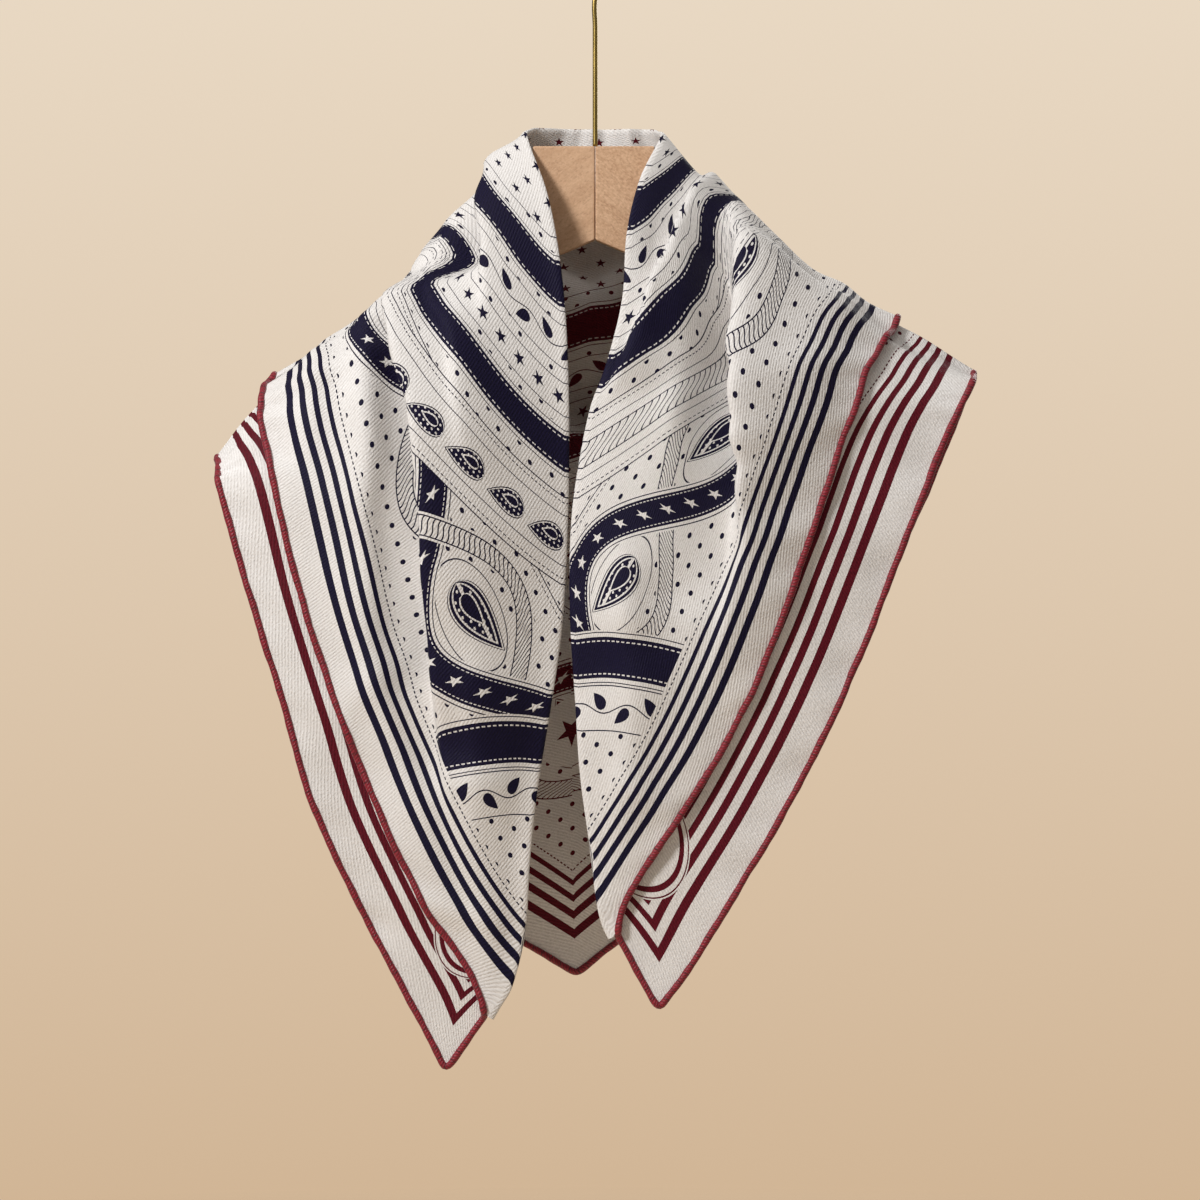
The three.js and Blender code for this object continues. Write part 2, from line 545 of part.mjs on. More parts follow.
piece('hanger_arm_left', hangerArm('left'), wood);
piece('hanger_arm_right', hangerArm('right'), wood);
piece('hook', hookGeometry(), brass);

export default scarf;
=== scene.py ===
# A silk square scarf, folded once and draped over a wooden hanger on a brass hook.
import math

import bmesh
import bpy
import numpy as np
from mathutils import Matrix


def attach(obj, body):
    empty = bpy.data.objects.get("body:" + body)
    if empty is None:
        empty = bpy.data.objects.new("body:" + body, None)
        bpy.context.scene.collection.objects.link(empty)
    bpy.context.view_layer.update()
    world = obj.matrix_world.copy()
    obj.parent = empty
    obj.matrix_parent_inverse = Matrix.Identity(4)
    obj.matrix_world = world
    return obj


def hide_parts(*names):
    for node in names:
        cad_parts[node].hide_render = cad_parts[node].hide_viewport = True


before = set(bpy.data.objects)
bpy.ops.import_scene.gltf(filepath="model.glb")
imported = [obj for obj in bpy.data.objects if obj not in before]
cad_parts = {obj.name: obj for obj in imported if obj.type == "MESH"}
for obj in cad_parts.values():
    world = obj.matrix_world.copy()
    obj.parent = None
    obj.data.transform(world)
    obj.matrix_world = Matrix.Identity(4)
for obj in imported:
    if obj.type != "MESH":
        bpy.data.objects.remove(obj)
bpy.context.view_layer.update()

MM = 0.001
TURN = 2 * math.pi

# Camera: the photograph is square, its width spans this much at the scarf
VIEW_WIDTH = 0.744
VIEW_CENTRE = (0.003, 0.0, -0.429)
VIEW_DISTANCE = 2.8
SENSOR = 36.0

# Floor and light: each lamp has its name, place, size, power and colour
FLOOR_LEVEL = -1.0
FLOOR_RADIUS = 1.6
FLOOR_FADE_FROM = 0.7  # the floor fades out from here
FLOOR_FADE_OVER = 0.9
ROOM_LIGHT = 0.245
ROOM_COLOUR = (1.0, 0.94, 0.87, 1)
WALL_FADE = 0.28  # share of the view's height over which the backdrop grows paler upwards: painted shade, darker towards the bottom
LIGHTS = (
    ("key light", (-1.4, -1.5, 0.8), 0.45, 48.0, (1.0, 1.0, 1.0)),
    ("fill light", (1.9, -1.6, 0.1), 1.6, 0.3, (0.97, 0.98, 1.0)),
    ("top light", (0.2, -0.3, 1.2), 0.8, 5.0, (1.0, 0.99, 0.97)),
    ("back light", (0.9, 1.7, 0.6), 1.2, 18.0, (1.0, 0.99, 0.97)),
)

# Cloth, in millimetres
CUT = 880.0  # side of the square that the scarf was cut to
HALF_DIAGONAL = CUT / math.sqrt(2)
FOLD_OFFSET = 31.0  # how far the fold lies from the square's diagonal
HALF_FOLD = HALF_DIAGONAL - FOLD_OFFSET
LAYER_OFFSET = 1.5  # each layer lies this far from the middle surface between them
FOLD_REACH = 3.4  # how far the soft fold stands out past the middle surface's edge
FOLD_FLAT = 4.7  # half the cloth that goes round the fold
STATIONS = 470
TIP_CROWDING = 0.045
OUTER_COLUMNS = 128
ROUND_COLUMNS = 8
INNER_COLUMNS = 46
BORDER_COLUMNS = 16
FINE_STEPS = 300
SOFTENING_ROUNDS = 12  # how often the inner layer's directions are averaged
EDGE_SWING = 16.0  # the hem's ripples fade out over this much cloth
FOLD_FADE = 34.0  # the folds die out over this much cloth towards the fold edge

# The winding band of the print, in millimetres of flat cloth
WINDING_AT = 113.0  # its middle, from the hem
WINDING_HALF = 62.0
WINDING_LENGTH = 207.0
WINDING_SWING = 40.0
WINDING_START = -327.0  # where it crosses the middle of the back
WINDING_SHORTER = 0.13  # how much shorter its waves are on the right half
ROPE_HALF = 6.0
RIBBON_HALF = 9.8
RIBBON_STAR = 4.6
RIBBON_STAR_PITCH = 19.0

# The rest of the print: circles round the middle and round each corner, dots and stripes
ARCH_RADIUS = 300.0
WIDE_RIBBON_RADIUS = 248.0
STAR_BAND_RADIUS = 216.0
VINE_RADIUS = 184.0
CORE_RIBBON_RADIUS = 146.0
ROSETTE_RADIUS = 118.0
CORNER_RIBBON_RADIUS = 204.0
CORNER_VINE_RADIUS = 174.6
CORNER_FRAME_AT = 541.0  # from the middle of the square
DOT_PITCH = 8.2
DOT_RADIUS = 1.6
DROP_PITCH = 31.0  # the drops along the arch
STAR_PITCH = 13.0  # the small stars in the middle
STRIPES = ((17.0, 4.4), (25.6, 3.9), (33.2, 3.3), (40.4, 2.7))  # from the hem, width
STITCHES_AT = 46.0
BORDER_WIDTH = 49.0
RIB_PITCH = 1.8  # the twill's ribs, drawn coarse enough to show

# Rolled hem, in millimetres
HEM_RADIUS = 2.1
HEM_STEP = 1.8
HEM_SIDES = 12
HEM_OUT = 1.0
HEM_RISE = 0.5

# Hanger and hook, in millimetres
BLOCK_TOP = -148.0
WIRE_RADIUS = 1.55
HOOK_RADIUS = 20.0
HOOK_END = 205.0
HOOK_NECK = -50.0
WIRE_SIDES = 24
WOOD_BEVEL = 1.3

# One row for each section across the scarf, in order from the left tip round the back.
# facing: 0 front, 90 up on the shoulder, 180 back. crown: how far the panel bows out.
# fold, outer, inner: points on the fold edge, the outer layer's hem and the inner layer's hem.
SECTION_COLUMNS = ("name", "facing", "crown", "fold", "outer", "inner")
SECTION_ROWS = (
    ("L0", 0, 0, (-65, -38, -684), (-67, -38, -681), (-91, -37, -715)),
    ("L1", 0, 0, (-61, -38, -677), (-69, -38, -671), (-107, -37, -684)),
    ("L2", 0, 0, (-54, -39, -665), (-76, -39, -655), (-127, -38, -647)),
    ("L3", 0, 1, (-46, -40, -632), (-103, -40, -614), (-147, -38, -608)),
    ("L4", 0, 3, (-43, -41, -587), (-130, -42, -558), (-173, -40, -550)),
    ("L5", 0, 6, (-38, -42, -542), (-154, -43, -498), (-191, -41, -488)),
    ("L6", 0, 9, (-30, -43, -493), (-177, -43, -430), (-212, -40, -420)),
    ("L7", 4, 12, (-23, -44, -442), (-194, -41, -360), (-229, -36, -361)),
    ("L8", 10, 13, (-20, -44, -392), (-199, -36, -339), (-231, -30, -352)),
    ("L9", 18, 14, (-19, -43, -336), (-203, -30, -320), (-232, -24, -347)),
    ("L10", 30, 12, (-20, -40, -280), (-203, -22, -307), (-233, -18, -343)),
    ("L11", 45, 6, (-24, -33, -227), (-202, -14, -299), (-233, -12, -341)),
    ("L12", 66, -2, (-32, -22, -181), (-200, -7, -294), (-234, -6, -340)),
    ("L13", 90, -10, (-44, -3, -146), (-196, 0, -291), (-234, 0, -340)),
    ("B1", 116, -4, (-41, 14, -139), (-192, 15, -325), (-227, 13, -372)),
    ("B2", 145, 4, (-33, 25, -137), (-178, 24, -385), (-208, 22, -432)),
    ("B3", 165, 9, (-22, 31, -137), (-152, 29, -450), (-180, 28, -500)),
    ("B4", 176, 12, (-13, 34, -137), (-108, 32, -520), (-135, 31, -572)),
    ("B5", 180, 13, (-7, 35, -137), (-57, 33, -572), (-72, 32, -625)),
    ("B6", 180, 14, (-1, 35, -137), (-12, 33, -606), (-12, 32, -662)),
    ("B7", 180, 13, (5, 35, -137), (38, 33, -560), (50, 32, -612)),
    ("B8", 176, 12, (12, 34, -137), (88, 32, -500), (108, 31, -550)),
    ("B9", 165, 9, (22, 31, -137), (130, 29, -432), (152, 28, -480)),
    ("B10", 145, 4, (32, 25, -138), (158, 24, -365), (186, 22, -405)),
    ("B11", 116, -4, (40, 14, -140), (177, 14, -302), (216, 13, -335)),
    ("R13", 90, -9, (43, -3, -145), (185, 0, -258), (234, 0, -287)),
    ("R12", 70, -3, (31, -18, -170), (184, -6, -260), (234, -5, -288)),
    ("R11", 52, 2, (23, -27, -203), (182, -12, -264), (234, -10, -289)),
    ("R10", 38, 7, (20, -34, -244), (179, -18, -270), (233, -16, -291)),
    ("R9", 28, 10, (11, -39, -282), (175, -24, -279), (231, -22, -295)),
    ("R8", 18, 12, (0, -42, -313), (169, -30, -290), (228, -28, -301)),
    ("R7", 10, 13, (-9, -44, -360), (163, -36, -306), (222, -33, -312)),
    ("R6", 4, 12, (-12, -44, -394), (154, -40, -326), (213, -36, -331)),
    ("R5", 0, 10, (-12, -44, -440), (134, -43, -387), (190, -39, -389)),
    ("R4", 0, 7, (-9, -43, -490), (109, -43, -453), (164, -40, -456)),
    ("R3", 0, 4, (-6, -42, -535), (81, -42, -511), (138, -39, -514)),
    ("R2", 0, 2, (0, -40, -580), (47, -41, -565), (108, -39, -570)),
    ("R1", 0, 0, (4, -39, -613), (22, -39, -604), (79, -38, -618)),
    ("R0b", 0, 0, (7, -38, -626), (15, -38, -620), (58, -37, -652)),
    ("R0", 0, 0, (11, -38, -635), (13, -38, -631), (39, -37, -678)),
)
NAMES = [row[0] for row in SECTION_ROWS]
APEX_SECTION = "B6"  # where the corner of the square hangs down the back


def column(name):
    """One column of the section table, as an array."""
    at = SECTION_COLUMNS.index(name)
    return np.array([row[at] for row in SECTION_ROWS], dtype=float)


# Folds that run along the scarf. near, far: the spread towards the fold edge and the hem.
# lean: how far the crest tips over for each millimetre of height, outwards when positive.
# stops: section, place across the panel from 0 at the fold edge to 1 at the hem, height.
FOLDS = (
    ("left roll", 46, 12, 1.3, (
        ("L3", 0.40, 0), ("L5", 0.37, 7), ("L6", 0.34, 15), ("L7", 0.325, 22), ("L9", 0.31, 28),
        ("L10", 0.35, 28), ("L11", 0.375, 25), ("L12", 0.39, 9), ("L13", 0.40, 4),
        ("B1", 0.38, 2), ("B3", 0.36, 0))),
    ("left roll hollow", 12, 34, 0, (
        ("L4", 0.50, 0), ("L6", 0.47, -9), ("L9", 0.45, -17), ("L11", 0.51, -13), ("L12", 0.54, 1),
        ("B1", 0.50, 0))),
    ("left outer fold", 9, 12, 0.3, (
        ("L5", 0.74, 0), ("L7", 0.68, 6), ("L9", 0.64, 8), ("L11", 0.64, 7), ("B1", 0.60, 0))),
    ("left neck pleat", 13, 7, 1.1, (
        ("L9", 0.17, 0), ("L10", 0.13, 5), ("L11", 0.11, 12), ("L12", 0.085, 18), ("L13", 0.075, 9),
        ("B1", 0.08, 3), ("B2", 0.10, 0))),
    ("left neck dip", 9, 12, 0, (
        ("L10", 0.24, 0), ("L11", 0.225, -9), ("L12", 0.21, -16), ("L13", 0.19, 0), ("B1", 0.19, 0),
        ("B2", 0.20, 0))),
    ("left second pleat", 9, 6, 0.9, (
        ("L8", 0.17, 0), ("L9", 0.17, 4), ("L10", 0.18, 8), ("L11", 0.23, 11), ("L12", 0.285, 5),
        ("L13", 0.29, 1), ("B1", 0.28, 0))),
    ("left long ripple", 16, 12, 0.3, (
        ("L1", 0.5, 0), ("L3", 0.33, 3), ("L5", 0.20, 5), ("L7", 0.12, 0))),
    ("left low ripple", 12, 15, 0, (
        ("L2", 0.75, 0), ("L4", 0.72, 4), ("L6", 0.78, 4), ("L8", 0.84, 0))),
    ("left hem lift", 12, 10, 0, (
        ("L7", 0.93, 0), ("L9", 0.86, 4), ("L11", 0.83, 5), ("L13", 0.82, 2), ("B2", 0.85, 0))),
    ("right neck fold", 9, 38, -1.0, (
        ("R8", 0.05, 0), ("R9", 0.12, 9), ("R10", 0.185, 17), ("R11", 0.265, 21), ("R12", 0.265, 18),
        ("R13", 0.25, 8), ("B11", 0.25, 10), ("B10", 0.22, 3),
        ("B9", 0.2, 0))),
    ("right neck dip", 16, 9, 0, (
        ("R10", 0.06, 0), ("R11", 0.11, -5), ("R12", 0.13, -4), ("R13", 0.13, 0), ("B11", 0.11, 0),
        ("B10", 0.11, 0))),
    ("right roll", 12, 40, -1.3, (
        ("R3", 0.76, 0), ("R5", 0.77, 7), ("R6", 0.72, 15), ("R7", 0.70, 21), ("R8", 0.69, 25),
        ("R9", 0.64, 26), ("R11", 0.567, 23), ("R12", 0.46, 12), ("R13", 0.41, 4), ("B11", 0.36, 3),
        ("B9", 0.32, 0))),
    ("right roll hollow", 40, 12, 0, (
        ("R4", 0.62, 0), ("R6", 0.60, -13), ("R8", 0.57, -25), ("R9", 0.53, -27), ("R11", 0.47, -23),
        ("R12", 0.39, -6), ("R13", 0.36, 0), ("B11", 0.34, 0))),
    ("right long ripple", 12, 16, -0.2, (
        ("R1", 0.4, 0), ("R3", 0.32, 4), ("R5", 0.22, 5), ("R7", 0.14, 0))),
    ("right middle ripple", 10, 13, 0, (
        ("R6", 0.36, 0), ("R8", 0.30, 4), ("R10", 0.30, 4), ("R12", 0.34, 0))),
    ("right hem lift", 12, 12, 0, (
        ("R6", 0.92, 0), ("R8", 0.88, 4), ("R11", 0.84, 5), ("R13", 0.78, 3), ("B10", 0.80, 0))),
    ("back swag high", 20, 16, 0.5, (
        ("B1", 0.20, 0), ("B3", 0.17, 15), ("B6", 0.16, 20), ("B9", 0.17, 15), ("B11", 0.20, 0))),
    ("back swag middle", 26, 20, 0.5, (
        ("L13", 0.5, 0), ("B2", 0.40, 13), ("B6", 0.36, 20), ("B10", 0.40, 13), ("R13", 0.5, 0))),
    ("back swag low", 30, 24, 0.4, (
        ("B1", 0.74, 0), ("B3", 0.64, 10), ("B6", 0.60, 15), ("B9", 0.64, 10), ("B11", 0.74, 0))),
)

# Soft creases that run across the panel, from the fold edge towards the hem. top, bottom:
# the sections where they start and end. width: half their spread, in millimetres of cloth.
# stops: place across the panel, height.
CREASES = (
    ("left shoulder drape", "L12", "L10", 13, ((0.45, 0), (0.6, 3), (0.85, 3), (1.25, 0))),
    ("left shoulder hollow", "L13", "L12", 16, ((0.3, 0), (0.55, -3), (0.9, -2), (1.25, 0))),
    ("left chest sag", "L8", "L7", 17, ((0.0, 0), (0.12, 2.5), (0.3, 2.5), (0.42, 0))),
    ("left chest crease", "L7", "L5", 12, ((0.5, 0), (0.7, 2.2), (0.95, 2.6), (1.2, 0))),
    ("left lower sag", "L5", "L4", 15, ((0.0, 0), (0.2, 2), (0.5, 2), (0.8, 0))),
    ("left tip crease", "L3", "L3", 10, ((0.1, 0), (0.4, 1.8), (0.9, 2), (1.4, 0))),
    ("right shoulder drape", "R12", "R10", 12, ((0.5, 0), (0.65, 3), (0.9, 3), (1.25, 0))),
    ("right shoulder hollow", "R13", "R11", 15, ((0.55, 0), (0.7, -2.5), (0.95, -2), (1.3, 0))),
    ("right chest sag", "R8", "R7", 16, ((0.0, 0), (0.12, 2.5), (0.3, 3), (0.48, 0))),
    ("right chest crease", "R6", "R5", 12, ((0.55, 0), (0.75, 2.4), (1.0, 2.6), (1.25, 0))),
    ("right lower sag", "R5", "R4", 15, ((0.0, 0), (0.25, 2.4), (0.5, 2), (0.75, 0))),
    ("right tip crease", "R3", "R2", 10, ((0.1, 0), (0.5, 1.8), (0.9, 1.8), (1.3, 0))),
    ("back drape left", "B2", "B2", 15, ((0.12, 0), (0.4, 5), (0.8, 6), (1.15, 2))),
    ("back drape left inside", "B3", "B4", 13, ((0.2, 0), (0.5, 4), (0.9, 5), (1.15, 3))),
    ("back drape middle", "B5", "B5", 12, ((0.3, 0), (0.6, 4), (0.9, 5), (1.15, 3))),
    ("back drape right inside", "B8", "B8", 13, ((0.2, 0), (0.5, 4), (0.9, 6), (1.15, 3))),
    ("back drape right", "B10", "B9", 14, ((0.12, 0), (0.4, 5), (0.8, 5), (1.15, 2))),
)


def unit(vectors):
    """Vectors at length 1."""
    length = np.linalg.norm(vectors, axis=-1, keepdims=True)
    return vectors / np.maximum(length, 1e-9)


def dot(a, b):
    return np.sum(a * b, axis=-1, keepdims=True)


def runs_of(net):
    """Length of each row of a net so far, at each point."""
    steps = np.linalg.norm(np.diff(net, axis=1), axis=-1)
    return np.hstack([np.zeros((len(steps), 1)), np.cumsum(steps, axis=1)])


def run_of(points):
    """Length of one line of points so far, at each point."""
    return runs_of(points[None])[0]


PLACES = (run_of(column("fold")) + run_of(column("outer"))) / 2
TOTAL = PLACES[-1]
PLACE_OF = dict(zip(NAMES, PLACES))
APEX = NAMES.index(APEX_SECTION)


def bent(low, high, leaving, arriving, t):
    """A smooth curve from low to high, with its slope at each end, at the shares t."""
    rise = high - low
    start = leaving - rise
    end = arriving - rise
    return low + rise * t + t * (1 - t) * ((1 - t) * start - t * end)


def curve_through(values, at):
    """A smooth curve through one column of the section table, at the places given."""
    k = np.clip(np.searchsorted(PLACES, at, side="left") - 1, 0, len(PLACES) - 2)
    low = np.maximum(np.arange(len(PLACES)) - 1, 0)
    high = np.minimum(np.arange(len(PLACES)) + 1, len(PLACES) - 1)
    wide = (PLACES[high] - PLACES[low]).reshape(-1, *[1] * (values.ndim - 1))
    arriving = (values[high] - values[low]) / wide
    leaving = arriving.copy()
    arriving[APEX] = (values[APEX] - values[APEX - 1]) / (PLACES[APEX] - PLACES[APEX - 1])
    leaving[APEX] = (values[APEX + 1] - values[APEX]) / (PLACES[APEX + 1] - PLACES[APEX])
    span = PLACES[k + 1] - PLACES[k]
    t = (at - PLACES[k]) / span
    if values.ndim > 1:
        span = span[:, None]
        t = t[:, None]
    return bent(values[k], values[k + 1], leaving[k] * span, arriving[k + 1] * span, t)


def eased(stop_places, stop_values, at):
    """Values eased from stop to stop, and nothing outside the stops."""
    order = np.argsort(stop_places)
    places = np.array(stop_places, dtype=float)[order]
    values = np.array(stop_values, dtype=float)[order]
    k = np.clip(np.searchsorted(places, at, side="right") - 1, 0, len(places) - 2)
    t = np.clip((at - places[k]) / (places[k + 1] - places[k]), 0, 1)
    t = t * t * (3 - 2 * t)
    return values[k] + (values[k + 1] - values[k]) * t


def uneven(at, *waves):
    """A sum of slow waves: each is its length, height and start."""
    return sum(high * np.sin(TURN * at / long + start) for long, high, start in waves)


class Drape:
    """The middle surface between the two layers, at a list of places along the scarf."""

    def __init__(self, places):
        self.places = places
        self.fold = curve_through(column("fold"), places)
        self.outer = curve_through(column("outer"), places)
        self.inner = curve_through(column("inner"), places)
        self.crown = curve_through(column("crown"), places)[:, None]
        facing = np.radians(curve_through(column("facing"), places))[:, None]
        self.panel = np.linalg.norm(self.outer - self.fold, axis=1)[:, None]
        self.border = np.linalg.norm(self.inner - self.outer, axis=1)[:, None]
        self.chord = unit(self.outer - self.fold)
        side = np.where(self.chord[:, :1] < 0, -1.0, 1.0)
        up = unit(np.hstack([-self.chord[:, 2:] * side, 0 * side, self.chord[:, :1] * side]))
        rise = up * np.sin(facing)
        rise[:, 1:2] = -np.cos(facing)
        self.out = unit(rise)

    def points(self, across):
        """Points at the distances given from the fold edge, a row for each place."""
        q = across / self.panel
        past = np.clip((across - self.panel) / self.border, 0, 1)[..., None]
        q_panel = np.clip(q, 0, 1)[..., None]
        at = self.fold[:, None] + (self.outer - self.fold)[:, None] * q_panel
        at = at + (self.inner - self.outer)[:, None] * past
        out = 4 * self.crown * np.clip(q, 0, 1) * (1 - np.clip(q, 0, 1))
        along = np.zeros_like(out)
        for _, near, far, lean, stops in FOLDS:
            stop_places = [PLACE_OF[name] for name, _, _ in stops]
            middle = eased(stop_places, [place for _, place, _ in stops], self.places)[:, None]
            height = eased(stop_places, [high for _, _, high in stops], self.places)[:, None]
            away = across - middle * self.panel
            spread = np.where(away < 0, near, far)
            fade = np.clip(across / min(near, FOLD_FADE), 0, 1)
            lift = height * np.exp(-((away / spread) ** 2)) * fade * fade * (3 - 2 * fade)
            out = out + lift
            along = along + lean * lift
        for _, top, bottom, width, stops in CREASES:
            middle = PLACE_OF[top] + (PLACE_OF[bottom] - PLACE_OF[top]) * np.clip(q, 0, 1)
            height = eased([place for place, _ in stops], [high for _, high in stops], q)
            out = out + height * np.exp(-(((self.places[:, None] - middle) / width) ** 2))
        calm = np.clip(np.minimum(self.places, TOTAL - self.places) / 90, 0, 1)[:, None]
        waves = uneven(self.places[:, None] + across * 0.45, (74, 0.45, 0.4), (131, 0.6, 2.1))
        waves = waves + uneven(across - self.places[:, None] * 0.3, (47, 0.35, 1.2), (88, 0.4, 0.3))
        out = out + waves * calm
        return at + out[..., None] * self.out[:, None] + along[..., None] * self.chord[:, None]

    def even(self, start, stop, count):
        """Distances across that part a stretch of each section into even lengths of cloth."""
        share = np.linspace(0, 1, FINE_STEPS)[None, :]
        fine = start + (stop - start) * share
        rows = []
        for run, row in zip(runs_of(self.points(fine)), fine):
            rows.append(np.interp(np.linspace(0, run[-1], count + 1), run, row))
        return np.array(rows)


def normals_of(net):
    """Outward direction of the cloth at each point of a net."""
    down = np.gradient(net, axis=0)
    across = np.gradient(net, axis=1)
    return unit(np.cross(down, across))


def softened(directions):
    """Directions averaged with their neighbours along the scarf, so that tight bends don't cross."""
    for _ in range(SOFTENING_ROUNDS):
        padded = np.concatenate([directions[:1], directions, directions[-1:]])
        directions = unit(padded[:-2] + 2 * padded[1:-1] + padded[2:])
    return directions


def edge_way(edge, inside):
    """Way out of the cloth at an edge: away from the inside, square to the edge."""
    ahead = unit(np.gradient(edge, axis=0))
    way = edge - inside
    return unit(way - ahead * dot(way, ahead))


def grid_faces(rows, columns):
    """Quads of a grid of points."""
    corner = np.arange(rows * columns).reshape(rows, columns)
    quads = [corner[:-1, :-1], corner[:-1, 1:], corner[1:, 1:], corner[1:, :-1]]
    return np.stack([quad.ravel() for quad in quads], axis=1)


def placed(name, data, place=(0, 0, 0)):
    """A new object in the scene."""
    thing = bpy.data.objects.new(name, data)
    thing.location = place
    bpy.context.scene.collection.objects.link(thing)
    return thing


def mesh_object(name, points, faces, flat):
    """A smooth mesh from points in millimetres, with its flat coordinates as a UV map."""
    mesh = bpy.data.meshes.new(name)
    mesh.from_pydata((points * MM).tolist(), [], faces.tolist())
    mesh.polygons.foreach_set("use_smooth", [True] * len(mesh.polygons))
    corners = np.empty(len(mesh.loops), dtype=int)
    mesh.loops.foreach_get("vertex_index", corners)
    layer = mesh.uv_layers.new(name="flat")
    layer.data.foreach_set("uv", flat[corners].ravel())
    mesh.update()
    return placed(name, mesh)


# Cloth
def hem_share(hem, apex):
    """How far round a hem each point lies: 0 at the left tip, a half at the apex, 1 at the right."""
    run = run_of(hem)
    left = run / run[apex]
    right = (run - run[apex]) / (run[-1] - run[apex])
    return np.where(run <= run[apex], left, 1 + right) / 2


def flat_hem(share, corner_x, corner_y, apex_y):
    """Flat place of a hem, a share of the way from the left corner by the apex to the right."""
    x = corner_x * (2 * share - 1)
    return np.stack([x, apex_y + (corner_y - apex_y) * np.abs(x) / corner_x], axis=-1)


def flat_layer(net, hem_flat, fold_flat):
    """Flat places of a layer's net, true to size at the hem and met at the fold edge."""
    run = runs_of(net[:, ::-1])[:, ::-1]
    whole = np.maximum(run[:, :1], 1e-6)
    wanted = np.maximum(np.linalg.norm(fold_flat - hem_flat, axis=1)[:, None], 1e-6)
    share = run / wanted + (1 - whole / wanted) * (run / whole) ** 2
    return hem_flat[:, None] + (fold_flat - hem_flat)[:, None] * share[..., None]


def build_cloth():
    """The whole scarf as one sheet, from the outer hem over the soft fold to the inner hem."""
    t = np.linspace(0, 1, STATIONS)
    places = TOTAL * (t - np.sin(TURN * t) * TIP_CROWDING)
    apex = np.argmin(np.abs(places - PLACES[APEX]))
    places[apex] = PLACES[APEX]
    drape = Drape(places)
    none = np.zeros((STATIONS, 1))
    outer_across = drape.even(none, drape.panel, OUTER_COLUMNS)
    inner_across = np.hstack([
        drape.even(none, drape.panel, INNER_COLUMNS)[:, :-1],
        drape.even(drape.panel, drape.panel + drape.border, BORDER_COLUMNS),
    ])
    outer = drape.points(outer_across)
    inner = drape.points(inner_across)
    outer_normals = normals_of(outer)
    inner_normals = softened(normals_of(inner))
    along = drape.places[:, None]
    lift = 0.75 + uneven(along, (31, 0.35, 0.2), (53, 0.5, 1.1), (97, 0.4, 2.4))
    lift = np.maximum(lift, 0) * np.exp(-(((drape.panel - outer_across) / EDGE_SWING) ** 2))
    ripple = uneven(along, (29, 0.5, 1.0), (61, 0.8, 0.3), (118, 0.9, 2.2))
    hem_away = (drape.panel + drape.border - inner_across) / EDGE_SWING
    ripple = ripple * np.exp(-(hem_away ** 2)) - LAYER_OFFSET
    outer = outer + outer_normals * (LAYER_OFFSET + lift)[..., None]
    inner = inner + inner_normals * ripple[..., None]

    middle = (outer[:, 0] + inner[:, 0]) / 2
    half = (outer[:, 0] - inner[:, 0]) / 2
    way = edge_way(middle, (outer[:, 2] + inner[:, 1]) / 2)
    turns = np.linspace(0, math.pi, ROUND_COLUMNS + 2)[1:-1]
    fold = np.stack([
        middle + half * math.cos(turn) + way * FOLD_REACH * math.sin(turn) for turn in turns
    ], axis=1)

    fold_run = run_of(middle)
    fold_x = HALF_FOLD * (2 * fold_run / fold_run[-1] - 1)
    outer_share = hem_share(outer[:, -1], apex)
    inner_share = hem_share(inner[:, -1], apex)
    outer_fold = np.stack([fold_x, np.full(STATIONS, FOLD_OFFSET + FOLD_FLAT)], axis=1)
    inner_fold = np.stack([fold_x, np.full(STATIONS, FOLD_OFFSET - FOLD_FLAT)], axis=1)
    outer_hem = flat_hem(outer_share, HALF_FOLD, FOLD_OFFSET, HALF_DIAGONAL)
    inner_hem = flat_hem(inner_share, HALF_DIAGONAL, 0, -HALF_DIAGONAL)
    outer_flat = flat_layer(outer, outer_hem, outer_fold)
    inner_flat = flat_layer(inner, inner_hem, inner_fold)
    share = np.linspace(0, 1, ROUND_COLUMNS + 2)[None, 1:-1, None]
    fold_flat = outer_fold[:, None] + (inner_fold - outer_fold)[:, None] * share

    points = np.concatenate([outer[:, ::-1], fold, inner], axis=1)
    flat = np.concatenate([outer_flat[:, ::-1], fold_flat, inner_flat], axis=1)
    cloth = mesh_object(
        "scarf_cloth", points.reshape(-1, 3), grid_faces(*points.shape[:2]), flat.reshape(-1, 2))
    return cloth, hem_line(outer, outer_normals, inner, inner_normals)


# Rolled hem
def hem_line(outer, outer_normals, inner, inner_normals):
    """Middle of the rolled hem and the cloth's outward direction there, as a closed line."""
    outer_way = edge_way(outer[:, -1], outer[:, -3])
    inner_way = edge_way(inner[:, -1], inner[:, -2])
    outer_hem = outer[:, -1] + outer_way * HEM_OUT + outer_normals[:, -1] * HEM_RISE
    inner_hem = inner[:, -1] + inner_way * HEM_OUT
    legs = []
    for tip, inside in ((-1, -3), (0, 2)):
        leg = inner[tip, INNER_COLUMNS + 1:-1]
        way = edge_way(leg, inner[inside, INNER_COLUMNS + 1:-1])
        legs.append(leg + way * HEM_OUT)
    leg_normals = [inner_normals[tip, INNER_COLUMNS + 1:-1] for tip in (-1, 0)]
    line = np.concatenate([outer_hem, legs[0], inner_hem[::-1], legs[1][::-1]])
    facing = np.concatenate([
        outer_normals[:, -1], leg_normals[0], inner_normals[::-1, -1], leg_normals[1][::-1]])
    return line, facing


